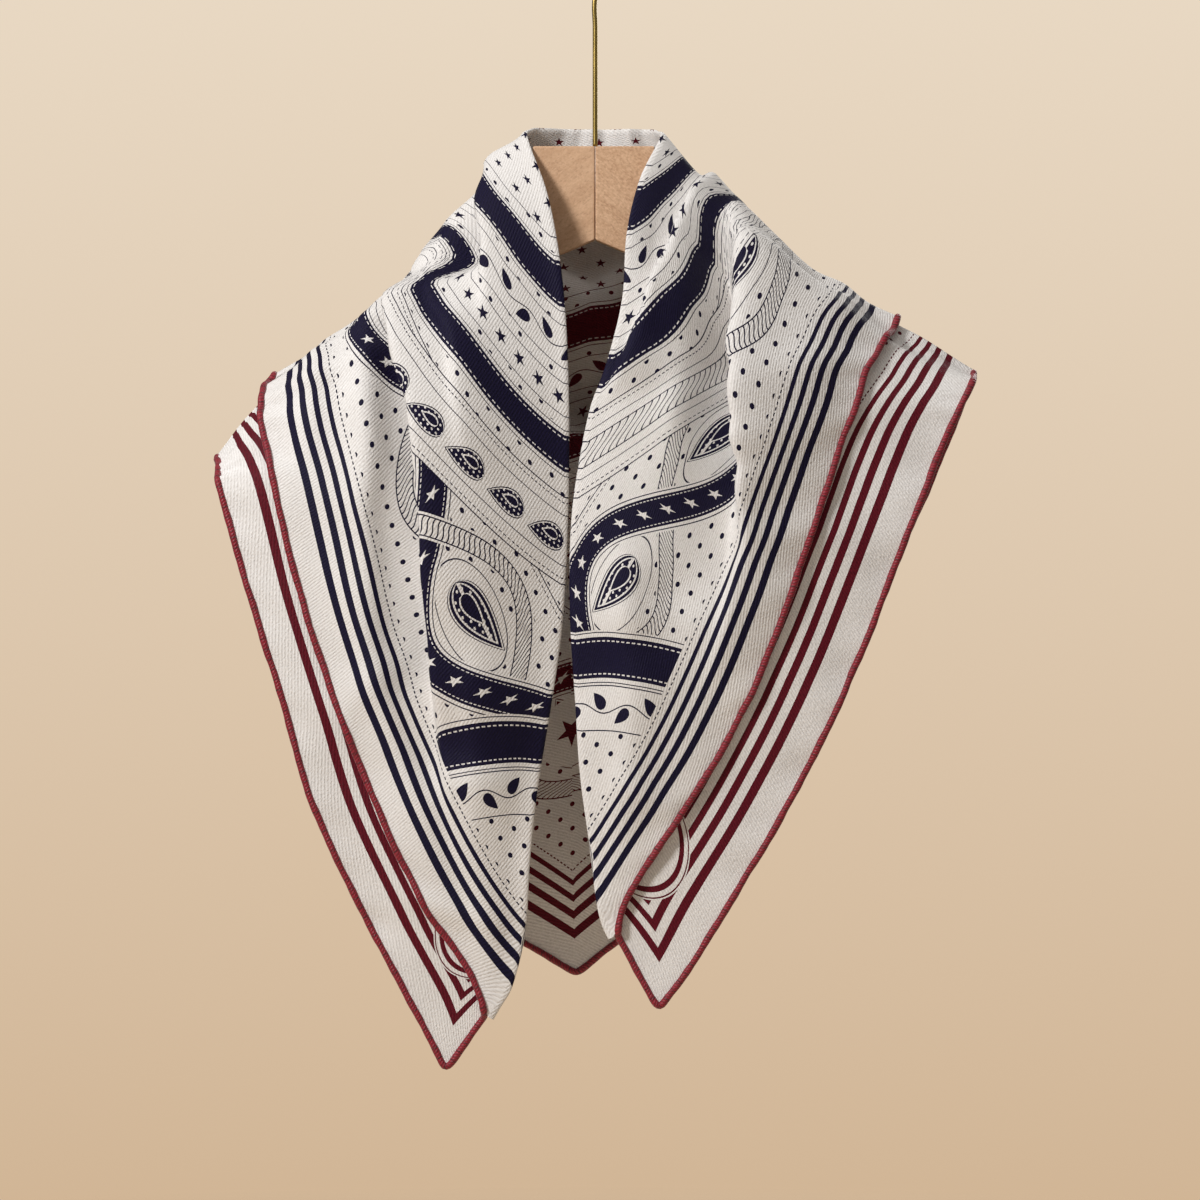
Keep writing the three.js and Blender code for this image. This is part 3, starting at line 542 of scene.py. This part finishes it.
def even_loop(line, facing, step):
    """A closed line with its points at even steps, its corners softened."""
    closed = np.concatenate([line, line[:1]])
    run = run_of(closed)
    count = int(round(run[-1] / step))
    want = np.linspace(0, run[-1], count, endpoint=False)
    turned = np.concatenate([facing, facing[:1]])
    even = np.stack([np.interp(want, run, closed[:, k]) for k in range(3)], axis=1)
    out = unit(np.stack([np.interp(want, run, turned[:, k]) for k in range(3)], axis=1))
    for _ in range(3):
        even = (np.roll(even, 1, axis=0) + 2 * even + np.roll(even, -1, axis=0)) / 4
        out = unit(np.roll(out, 1, axis=0) + 2 * out + np.roll(out, -1, axis=0))
    return even, out, want


def tube(name, line, facing, radius, sides, closed):
    """A round tube along a line, with length and girth as its flat coordinates."""
    if closed:
        ahead = unit(np.roll(line, -1, axis=0) - np.roll(line, 1, axis=0))
    else:
        ahead = unit(np.gradient(line, axis=0))
    across = unit(np.cross(ahead, facing))
    out = np.cross(across, ahead)
    turns = np.arange(sides) * TURN / sides
    rings = (line[:, None] + across[:, None] * (np.cos(turns)[None] * radius)[..., None]
             + out[:, None] * (np.sin(turns)[None] * radius)[..., None])
    count = len(line)
    corner = np.arange(count * sides).reshape(count, sides)
    below = corner if closed else corner[:-1]
    above = np.roll(corner, -1, axis=0) if closed else corner[1:]
    quads = [below, np.roll(below, -1, axis=1), np.roll(above, -1, axis=1), above]
    faces = np.stack([quad.ravel() for quad in quads], axis=1)
    flat = np.stack(np.broadcast_arrays(run_of(line)[:, None], turns / TURN), axis=-1)
    piece = mesh_object(name, rings.reshape(-1, 3), faces, flat.reshape(-1, 2))
    if not closed:
        close_ends(piece)
    return piece


def close_ends(piece):
    """Fills the open ends of a tube."""
    form = bmesh.new()
    form.from_mesh(piece.data)
    bmesh.ops.holes_fill(form, edges=[edge for edge in form.edges if edge.is_boundary])
    form.to_mesh(piece.data)
    form.free()


def build_hem(line, facing):
    """The hem rolled by hand round the whole square, a little uneven in girth."""
    line, facing, run = even_loop(line, facing, HEM_STEP)
    swell = uneven(run, (11, 0.03, 0), (27, 0.04, 1.3), (61, 0.04, 2.1))
    wander = uneven(run, (23, 0.08, 0.5), (47, 0.14, 1.7))
    across = unit(np.cross(np.roll(line, -1, axis=0) - line, facing))
    line = line + across * wander[:, None]
    radius = (HEM_RADIUS * (1 + swell))[:, None]
    return tube("rolled_hem", line, facing, radius, HEM_SIDES, closed=True)


# Hanger and hook
def build_arm(side):
    """A hanger arm with softly rounded edges, over the plain solid of the frame."""
    name = f"hanger_arm_{side}"
    form = bmesh.new()
    form.from_mesh(bpy.data.objects[name].data)
    bmesh.ops.remove_doubles(form, verts=form.verts, dist=0.00002)
    bmesh.ops.dissolve_limit(
        form, angle_limit=math.radians(1), verts=form.verts, edges=form.edges)
    sharp = [edge for edge in form.edges
             if len(edge.link_faces) == 2 and edge.calc_face_angle(0) > math.radians(50)]
    bmesh.ops.bevel(form, geom=sharp, offset=WOOD_BEVEL * MM, segments=3, affect="EDGES",
                    profile=0.6, clamp_overlap=True)
    mesh = bpy.data.meshes.new(f"wood_arm_{side}")
    form.to_mesh(mesh)
    form.free()
    arm = placed(f"wood_arm_{side}", mesh)
    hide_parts(name)
    return arm


def build_hook():
    """A round brass wire: straight up from the block, then round the bend."""
    middle = HOOK_RADIUS + WIRE_RADIUS
    low = -HOOK_RADIUS - middle
    points = [(0, 0, BLOCK_TOP + 0.3), (0, 0, BLOCK_TOP / 2), (0, 0, low - 14), (4, 0, low - 1)]
    for turn in np.arange(HOOK_NECK, HOOK_END + 1, 8.5):
        angle = math.radians(turn)
        points.append((middle * math.cos(angle), 0, -HOOK_RADIUS + middle * math.sin(angle)))
    points = np.array(points, dtype=float)
    run = run_of(points)
    want = np.linspace(0, run[-1], 160)
    line = smooth_line(points, run, want)
    facing = np.broadcast_to(np.array([0.0, -1.0, 0.0]), line.shape)
    return tube("hook_wire", line, facing, WIRE_RADIUS, WIRE_SIDES, closed=False)


def smooth_line(points, run, want):
    """A smooth curve through points, by the length of the line so far."""
    slope = np.gradient(points, run, axis=0)
    k = np.clip(np.searchsorted(run, want, side="right") - 1, 0, len(run) - 2)
    span = (run[k + 1] - run[k])[:, None]
    t = (want - run[k])[:, None] / span
    return bent(points[k], points[k + 1], slope[k] * span, slope[k + 1] * span, t)


# Materials
def linear(red, green, blue):
    """A colour given in screen values from 0 to 255."""
    def channel(value):
        value /= 255
        return value / 12.92 if value <= 0.04045 else ((value + 0.055) / 1.055) ** 2.4
    return (channel(red), channel(green), channel(blue), 1)


CREAM = linear(244, 241, 239)
CREAM_WARM = linear(185, 178, 171)
NAVY = linear(7, 4, 26)
NAVY_WORN = linear(24, 18, 52)
WINE = linear(66, 5, 18)
WINE_WORN = linear(104, 16, 33)
HEM_WINE = linear(160, 16, 42)
# HEM_DARK is the hem's wine both in painted shade and in its darker random tone.
HEM_DARK = linear(78, 2, 14)


class Value:
    """A number worked out at each point of a surface, by Math nodes."""

    def __init__(self, tree, socket):
        self.tree = tree
        self.socket = socket

    def worked(self, operation, *others):
        node = self.tree.nodes.new("ShaderNodeMath")
        node.operation = operation
        for place, item in enumerate((self, *others)):
            if isinstance(item, Value):
                self.tree.links.new(item.socket, node.inputs[place])
            else:
                node.inputs[place].default_value = item
        return Value(self.tree, node.outputs[0])

    def __add__(self, other):
        return self.worked("ADD", other)

    def __sub__(self, other):
        return self.worked("SUBTRACT", other)

    def __rsub__(self, other):
        return self.worked("MULTIPLY_ADD", -1.0, other)

    def __mul__(self, other):
        return self.worked("MULTIPLY", other)

    def __truediv__(self, other):
        return self.worked("DIVIDE", other)

    def __abs__(self):
        return self.worked("ABSOLUTE")

    def __lt__(self, other):
        return self.worked("LESS_THAN", other)

    def __gt__(self, other):
        return self.worked("GREATER_THAN", other)

    def __or__(self, other):
        return self.worked("MAXIMUM", other)

    def __and__(self, other):
        return self.worked("MULTIPLY", other)

    def without(self, other):
        """This mask outside another."""
        return self.worked("SUBTRACT", other).worked("MAXIMUM", 0.0)

    def clamped(self):
        """This value kept between 0 and 1."""
        return self.worked("MAXIMUM", 0.0).worked("MINIMUM", 1.0)

    def root(self):
        return self.worked("SQRT")

    def wrapped(self, pitch):
        """The distance from the middle of the nearest of evenly spaced places."""
        return (self.worked("WRAP", pitch, 0.0)) - pitch / 2

    def over(self, below, cover):
        """This value where the cover mask is 1, the value below elsewhere."""
        return (self - below).worked("MULTIPLY_ADD", cover, below)


def hypot(x, y):
    return (x * x).worked("MULTIPLY_ADD", 1.0, y * y).root()


def band(value, middle, half):
    """A mask that is 1 within half of the middle."""
    return abs(value - middle) < half


class Rings:
    """Circles round one centre of the flat cloth: distance from it, and length round it."""

    def __init__(self, x, y, centre_x):
        away_x = x - centre_x
        self.radius = hypot(away_x, y)
        self.angle = y.worked("ARCTAN2", away_x)

    def at(self, radius):
        """Length round the circle of this radius, and distance outside it."""
        return self.angle * radius, self.radius - radius


def dashes(run, across, at, pitch=3.2, half=0.35):
    """A line of stitches."""
    return (run.wrapped(pitch) < pitch * 0.1) & band(across, at, half)


def star(x, y, size):
    """A five-pointed star."""
    part = TURN / 5
    turn = y.worked("ARCTAN2", x)
    from_point = abs((turn + part / 2).worked("WRAP", part, 0.0) - part / 2)
    radius = hypot(x, y)
    lengthways = radius * from_point.worked("COSINE")
    sideways = radius * from_point.worked("SINE")
    return sideways.worked("MULTIPLY_ADD", 3.078, lengthways) < size


def drop(x, y, length, width, bend):
    """A leaf or paisley drop: how far inside its outline a point lies, in millimetres."""
    t = (x / length + 0.42).clamped()
    half = t.root() * (1.0 - t) * (2.6 * width / 2)
    middle = t * t * bend
    return half - abs(y - middle)


def rope(run, across, half):
    """A twisted rope: slanting strands that bend at the sides, drawn in thin lines."""
    slant = (across * (math.pi / (2 * half))).worked("SINE") * (half * 0.75)
    strands = (run + slant).worked("WRAP", half * 0.62, 0.0) < 0.95
    edge = band(abs(across), half - 0.4, 0.4)
    return (strands | edge) & (abs(across) < half)


def winding(from_hem, hem_run, right, ground):
    """A ribbon of stars and a rope that wind round each other, a paisley drop in each eye."""
    pace = right.worked("MULTIPLY_ADD", WINDING_SHORTER, 1.0) * (TURN / WINDING_LENGTH)
    turn = (hem_run - WINDING_START) * pace + math.pi / 2
    swing = turn.worked("SINE") * WINDING_SWING
    lengthways = turn.worked("COSINE")
    slope = lengthways * (TURN * WINDING_SWING / WINDING_LENGTH)
    steep = (slope * slope + 1.0).root()
    run = turn * 1.303 + (turn * 2.0).worked("SINE") * 0.143
    run = run * (WINDING_LENGTH / TURN)
    base = from_hem - WINDING_AT
    ribbon = (base - swing) / steep
    cord = (base + swing) / steep

    # In each eye a drop with a kernel and seeds, on a bare ground inside a thin outline
    eye_x = (turn * (WINDING_LENGTH / TURN)).wrapped(WINDING_LENGTH / 2)
    outline = drop(eye_x, base, 46.0, 29.0, 11.0)
    kernel = drop(eye_x + 4.0, base - 1.0, 18.0, 9.5, 4.0)
    seeds = hypot(eye_x.wrapped(4.2), base.wrapped(4.2)) < 0.85
    rim = band(outline, 3.2, 1.1) | band(outline, 0.7, 0.35)
    body = (outline > 5.6).without(seeds).without(kernel > -1.2)
    oval = hypot(eye_x * 0.78, base * 1.1)
    ground = ground.without(oval < 26.0) | band(oval, 24.5, 0.35)
    ink = (rim | body | (kernel > 0.0)).over(ground, outline > 0.0)

    cord_ink = rope(run, cord, ROPE_HALF)
    ink = cord_ink.over(ink, abs(cord) < ROPE_HALF + 1.4)
    stars = star(ribbon, run.wrapped(RIBBON_STAR_PITCH), RIBBON_STAR)
    ribbon_ink = (abs(ribbon) < RIBBON_HALF).without(stars)
    ribbon_ink = ribbon_ink.without(dashes(run, abs(ribbon), 8.0, 3.0, 0.3))
    ribbon_ink = ribbon_ink | band(abs(ribbon), 12.0, 0.35)
    ink = ribbon_ink.over(ink, abs(ribbon) < 13.6)
    return cord_ink.over(ink, (abs(cord) < ROPE_HALF + 1.4) & (lengthways < 0.0))


def staggered(x, y, pitch):
    """Place beside the nearest of a field of points, every other row of them shifted."""
    odd = (y / pitch).worked("FLOOR").worked("MODULO", 2.0)
    return odd.worked("MULTIPLY_ADD", pitch, x).wrapped(2 * pitch), y.wrapped(pitch)


def stitched_ribbon(ink, run, across, half):
    """The print under a solid ribbon with stitches near each side, between two thin lines."""
    across = abs(across)
    ribbon = (across < half).without(dashes(run, across, half - 2.4, 4.0, 0.4))
    return (ribbon | band(across, half + 2.6, 0.3)).over(ink, across < half + 4.0)


def print_mask(tree, x, y):
    """Where the scarf is printed: 1 for ink, 0 for the cream ground."""
    u = abs(x)
    v = abs(y)
    right = x > 0.0
    from_hem = (HALF_DIAGONAL - (u + v)) * (1 / math.sqrt(2))
    hem_run = (u - v) * (1 / math.sqrt(2))
    middle = Rings(u, v, 0.0)
    corner = Rings(u, v, HALF_DIAGONAL)

    # Ground of staggered dots
    ink = hypot(*staggered(x, y, DOT_PITCH)) < DOT_RADIUS

    # The winding band along each side, its middle eye with a star, beside two stitched lines
    band_ink = winding(from_hem, hem_run, right, ink)
    ink = band_ink.over(ink, corner.radius > CORNER_RIBBON_RADIUS)
    eye = v + WINDING_START * math.sqrt(2)
    ink = star(eye, x, 11.0).over(ink, hypot(u, eye) < 23.5)
    inward = from_hem - WINDING_AT - WINDING_HALF
    sides = band(inward, 0.0, 0.4) | dashes(hem_run, inward, -3.5)
    ink = sides.over(ink, band(inward, -1.8, 3.4))

    # An arch between thin lines, with drops on the left and a rope on the right
    arch_run, arch = middle.at(ARCH_RADIUS)
    drop_x = arch_run.wrapped(DROP_PITCH)
    depth = drop(drop_x, arch - 1.0, 27.0, 17.0, 6.0)
    seeds = hypot(drop_x.wrapped(3.2), arch.wrapped(3.2)) < 0.7
    kernel = drop(drop_x + 1.5, arch, 12.0, 7.0, 2.0)
    drops = band(depth, 0.35, 0.4) | ((depth > 1.5).without(kernel > 0.0)).without(seeds)
    drops = drops | (kernel > 1.1)
    twist = rope(arch_run, arch, 8.5)
    inside = twist.over(drops, right)
    lines = band(abs(arch), 26.0, 0.4) | dashes(arch_run, abs(arch), 22.5)
    lines = lines | band(abs(arch), 15.0, 0.3)
    ink = (inside | lines).over(ink, abs(arch) < 26.4)

    # Inside the arch: a stitched ribbon, stars, a leafy vine, another ribbon and a rosette
    ink = stitched_ribbon(ink, *middle.at(WIDE_RIBBON_RADIUS), 11.0)
    star_run, stars = middle.at(STAR_BAND_RADIUS)
    star_band = star(stars, star_run.wrapped(16.0), 5.2) | band(abs(stars), 10.0, 0.3)
    ink = star_band.over(ink, abs(stars) < 11.0)
    ink = vine(ink, *middle.at(VINE_RADIUS), 0.3)
    ink = stitched_ribbon(ink, *middle.at(CORE_RIBBON_RADIUS), 14.0)
    star_x, star_y = staggered(x, y, STAR_PITCH)
    rosette = star(star_y, star_x, 4.2) | band(middle.radius, ROSETTE_RADIUS, 0.35)
    ink = rosette.over(ink, middle.radius < ROSETTE_RADIUS + 0.4)

    # A star in a ring, where the drops and the rope of the arch meet
    boss = hypot(u, y - ARCH_RADIUS)
    boss_ink = star(ARCH_RADIUS - y, x, 13.0) | band(boss, 24.0, 1.2) | band(boss, 28.5, 0.35)
    ink = boss_ink.over(ink, boss < 29.0)

    # Round each corner: a stitched ribbon, and a vine between thin lines
    ink = vine(ink, *corner.at(CORNER_VINE_RADIUS), 0.35)
    ink = stitched_ribbon(ink, *corner.at(CORNER_RIBBON_RADIUS), 12.0)

    # The border: a bare margin, four stripes that thin out inwards, and a line of stitches
    stripes = from_hem * 0.0
    for at, width in STRIPES:
        stripes = stripes | band(from_hem, at, width / 2)
    stripes = stripes | dashes(hem_run, from_hem, STITCHES_AT, 3.2, 0.4)
    ink = stripes.over(ink, from_hem < BORDER_WIDTH)

    # A plain frame with one leaf in each corner, over the inner stripes
    frame_radius = hypot(u - CORNER_FRAME_AT, v)
    leaf = drop(u - CORNER_FRAME_AT - 2.0, v, 30.0, 17.0, 0.0)
    leaf_ink = ((leaf > 1.7).without(band(v, 0.0, 0.4))) | band(leaf, 0.3, 0.35)
    leaf_ink = leaf_ink | band(frame_radius, 29.0, 1.4) | band(frame_radius, 33.0, 0.35)
    return leaf_ink.over(ink, frame_radius < 34.0)


def vine(ink, run, across, line):
    """The print under a wavy stem with a leaf on each side in turn, between two thin lines."""
    stem_at = (run * (TURN / 36)).worked("SINE") * 3.0
    stem = abs(across - stem_at) < 0.4
    place = run.wrapped(18.0)
    turn = (run / 18.0).worked("FLOOR").worked("MODULO", 2.0).worked("ABSOLUTE")
    sign = turn.worked("MULTIPLY_ADD", 2.0, -1.0)
    away = across * sign
    lean_x = place * 0.7 + away * 0.7
    lean_y = away * 0.7 - place * 0.7
    leaf = drop(lean_x - 5.0, lean_y, 12.5, 7.0, 0.0) > 0.0
    across = abs(across)
    return (stem | leaf | band(across, 13.0, line)).over(ink, across < 13.4)


def new_material(name):
    material = bpy.data.materials.new(name)
    material.use_nodes = True
    tree = material.node_tree
    return material, tree, tree.nodes["Principled BSDF"]


def parts_of(tree, vector):
    """The three coordinates of a vector socket, as values."""
    parts = tree.nodes.new("ShaderNodeSeparateXYZ")
    tree.links.new(vector, parts.inputs[0])
    return [Value(tree, socket) for socket in parts.outputs]


def flat_place(tree):
    """The two flat coordinates of a surface, as values and as one vector socket."""
    uv = tree.nodes.new("ShaderNodeUVMap")
    uv.uv_map = "flat"
    x, y, _ = parts_of(tree, uv.outputs[0])
    return x, y, uv.outputs[0]


def noise(tree, vector, scale, detail):
    node = tree.nodes.new("ShaderNodeTexNoise")
    node.inputs["Scale"].default_value = scale
    node.inputs["Detail"].default_value = detail
    tree.links.new(vector, node.inputs["Vector"])
    return Value(tree, node.outputs[0])


def mixed(tree, factor, first, second):
    """A colour between two, each a colour or a socket."""
    node = tree.nodes.new("ShaderNodeMix")
    node.data_type = "RGBA"
    tree.links.new(factor.socket, node.inputs["Factor"])
    for name, item in (("A", first), ("B", second)):
        socket = next(s for s in node.inputs if s.name == name and s.type == "RGBA")
        if isinstance(item, bpy.types.NodeSocket):
            tree.links.new(item, socket)
        else:
            socket.default_value = item
    return next(s for s in node.outputs if s.type == "RGBA")


def bumped(tree, shader, height, distance, strength):
    node = tree.nodes.new("ShaderNodeBump")
    node.inputs["Distance"].default_value = distance
    node.inputs["Strength"].default_value = strength
    tree.links.new(height.socket, node.inputs["Height"])
    tree.links.new(node.outputs[0], shader.inputs["Normal"])


def painted(tree, shader, colour, rough):
    """Gives a shader its colour and its roughness."""
    tree.links.new(colour, shader.inputs["Base Color"])
    tree.links.new(rough.socket, shader.inputs["Roughness"])


def blended(tree, share, first, second, output):
    """Sends a mix of two shaders to an output node: all the first where the share is 0."""
    blend = tree.nodes.new("ShaderNodeMixShader")
    for place, socket in enumerate((share, first.outputs[0], second.outputs[0])):
        tree.links.new(socket, blend.inputs[place])
    tree.links.new(blend.outputs[0], tree.nodes[output].inputs[0])


def silk_material():
    """Printed silk twill: cream ground, navy and wine ink, diagonal ribs and a soft sheen."""
    material, tree, shader = new_material("printed silk twill")
    x, y, vector = flat_place(tree)
    ink = print_mask(tree, x, y)
    wine_half = y < FOLD_OFFSET
    slub = noise(tree, vector, 0.75, 3.0)
    cloud = noise(tree, vector, 0.02, 2.0)
    ribs = ((x * 0.5 + y * 0.87 + slub * 0.8) * (TURN / RIB_PITCH)).worked("SINE")
    weave = ribs * 0.45 + (slub - 0.5) * 3.0
    speck = (weave * 0.42 + 0.5).clamped()
    tone = cloud * 0.3 + speck * 0.6 - 0.05
    ground = mixed(tree, tone, CREAM, CREAM_WARM)
    navy = mixed(tree, speck, NAVY, NAVY_WORN)
    wine = mixed(tree, speck, WINE, WINE_WORN)
    dye = mixed(tree, wine_half, navy, wine)
    colour = mixed(tree, ink, ground, dye)
    painted(tree, shader, colour, speck.worked("MULTIPLY_ADD", 0.12, 0.55))
    shader.inputs["Specular IOR Level"].default_value = 0.15
    shader.inputs["Sheen Weight"].default_value = 0.03
    shader.inputs["Sheen Roughness"].default_value = 0.4
    bumped(tree, shader, weave, 0.0003, 0.6)
    return material


def hem_material():
    """Silk rolled by hand: ribs that wind round the hem, a stitch sunk in now and then, with painted
    shade where they sink.
    """
    material, tree, shader = new_material("rolled silk hem")
    run, girth, vector = flat_place(tree)
    ribs = ((run + girth * 7.0) * (TURN / 2.0)).worked("SINE")
    fine = noise(tree, vector, 1.4, 3.0)
    stitch = abs(run.wrapped(6.5)) < 0.45
    height = ribs * 0.5 + fine - stitch * 1.2
    # Painted shade mixed with the hem's random tone: the colour goes darker wherever the bump sinks,
    # in the rib grooves, at each sunk stitch and in the noise's low spots.
    shade = (ribs * 0.22 + fine - stitch * 0.4).clamped()
    colour = mixed(tree, shade, HEM_DARK, HEM_WINE)
    painted(tree, shader, colour, fine.worked("MULTIPLY_ADD", 0.15, 0.45))
    shader.inputs["Sheen Weight"].default_value = 0.2
    shader.inputs["Sheen Roughness"].default_value = 0.4
    bumped(tree, shader, height, 0.0004, 0.6)
    return material


def mapped(tree, vector, setting, value):
    """A vector socket stretched or turned."""
    mapping = tree.nodes.new("ShaderNodeMapping")
    mapping.inputs[setting].default_value = value
    tree.links.new(vector, mapping.inputs["Vector"])
    return mapping.outputs[0]


def object_place(tree):
    return tree.nodes.new("ShaderNodeTexCoord").outputs["Object"]


def wood_material(side):
    """Matte natural beech: fine grain along the arm with short dark flecks."""
    material, tree, shader = new_material(f"beech {side}")
    tilt = math.radians(38 if side == "left" else -38)
    turned = mapped(tree, object_place(tree), "Rotation", (0, tilt, 0))

    def grain(scale, detail):
        return noise(tree, mapped(tree, turned, "Scale", scale), 1.0, detail)

    broad = grain((9.0, 60.0, 110.0), 3.0)
    fine = grain((60.0, 500.0, 1300.0), 2.0)
    flecks = grain((420.0, 900.0, 1100.0), 1.0) > 0.62
    pores = grain((700.0, 900.0, 900.0), 2.0)
    tone = broad * 0.7 + fine * 0.25 + (pores - 0.5) * (1.5 if side == "right" else 0.8)
    tone = tone.clamped()
    colour = mixed(tree, tone, linear(222, 184, 149), linear(178, 136, 101))
    colour = mixed(tree, flecks * 0.28, colour, linear(150, 108, 76))
    painted(tree, shader, colour, fine.worked("MULTIPLY_ADD", 0.15, 0.5))
    bumped(tree, shader, fine + pores * 0.5 - flecks * 0.4, 0.0002, 0.35)
    return material


def brass_material():
    """Brushed brass wire, a little darker in patches."""
    material, tree, shader = new_material("brass")
    place = object_place(tree)
    patches = noise(tree, mapped(tree, place, "Scale", (60, 60, 25)), 1.0, 3.0)
    brushed = noise(tree, mapped(tree, place, "Scale", (900, 900, 60)), 1.0, 1.0)
    colour = mixed(tree, patches, linear(186, 160, 92), linear(122, 104, 58))
    painted(tree, shader, colour, brushed.worked("MULTIPLY_ADD", 0.25, 0.22))
    shader.inputs["Metallic"].default_value = 1.0
    return material


def floor_material():
    """A plain pale floor that fades away at its rim."""
    material, tree, shader = new_material("pale floor")
    place = object_place(tree)
    away = hypot(*parts_of(tree, place)[:2])
    fade = ((away - FLOOR_FADE_FROM) / FLOOR_FADE_OVER).clamped()
    mottle = noise(tree, place, 3.0, 3.0)
    colour = mixed(tree, mottle, linear(226, 206, 180), linear(222, 201, 174))
    tree.links.new(colour, shader.inputs["Base Color"])
    shader.inputs["Roughness"].default_value = 0.8
    clear = tree.nodes.new("ShaderNodeBsdfTransparent")
    blended(tree, fade.socket, shader, clear, "Material Output")
    return material


def dress(piece, material):
    piece.data.materials.clear()
    piece.data.materials.append(material)


# Floor, light and camera
def build_floor():
    mesh = bpy.data.meshes.new("floor")
    form = bmesh.new()
    bmesh.ops.create_circle(form, cap_ends=True, segments=96, radius=FLOOR_RADIUS)
    form.to_mesh(mesh)
    form.free()
    floor = placed("floor", mesh, (0, 0, FLOOR_LEVEL))
    dress(floor, floor_material())


def aim(thing, target):
    """Turns a light or the camera towards a point."""
    way = [target[k] - thing.location[k] for k in range(3)]
    flat = math.hypot(way[0], way[1])
    thing.rotation_euler = (math.atan2(flat, -way[2]), 0, math.atan2(-way[0], way[1]))


def build_lights():
    for name, place, size, power, colour in LIGHTS:
        light = bpy.data.lights.new(name, "AREA")
        light.size = size
        light.energy = power
        light.color = colour
        aim(placed(name, light, place), VIEW_CENTRE)
    world = bpy.data.worlds.new("studio")
    world.use_nodes = True
    bpy.context.scene.world = world
    tree = world.node_tree
    place = tree.nodes.new("ShaderNodeTexCoord").outputs["Generated"]
    # Painted shade on the backdrop: darker towards the bottom, paler towards the top.
    height = (parts_of(tree, place)[2] / WALL_FADE + 0.5).clamped()
    shaded_wall = mixed(tree, height, linear(208, 180, 148), linear(233, 217, 196))
    seen = tree.nodes["Background"]
    tree.links.new(shaded_wall, seen.inputs[0])
    lighting = tree.nodes.new("ShaderNodeBackground")
    lighting.inputs[0].default_value = ROOM_COLOUR
    lighting.inputs[1].default_value = ROOM_LIGHT
    camera_ray = tree.nodes.new("ShaderNodeLightPath").outputs["Is Camera Ray"]
    blended(tree, camera_ray, lighting, seen, "World Output")


def build_camera():
    camera = bpy.data.cameras.new("camera")
    camera.sensor_width = SENSOR
    camera.sensor_fit = "HORIZONTAL"
    camera.lens = SENSOR * VIEW_DISTANCE / VIEW_WIDTH
    eye = placed("camera", camera, (VIEW_CENTRE[0], -VIEW_DISTANCE, VIEW_CENTRE[2]))
    aim(eye, VIEW_CENTRE)
    bpy.context.scene.camera = eye


build_camera()
build_lights()
build_floor()

cloth, hem_places = build_cloth()
dress(cloth, silk_material())
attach(cloth, "root")
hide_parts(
    "outer_layer_front_left", "outer_layer_back", "outer_layer_front_right",
    "inner_layer_front_left", "inner_layer_back", "inner_layer_front_right",
    "fold_edge_front_left", "fold_edge_back", "fold_edge_front_right")

hem = build_hem(*hem_places)
dress(hem, hem_material())
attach(hem, "root")
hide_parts("rolled_hem_left", "rolled_hem_back_inner", "rolled_hem_right",
            "rolled_hem_back_outer")

for side in ("left", "right"):
    arm = build_arm(side)
    dress(arm, wood_material(side))
    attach(arm, "root")

hook = build_hook()
dress(hook, brass_material())
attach(hook, "root")
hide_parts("hook")

bpy.context.scene.view_settings.view_transform = "Standard"
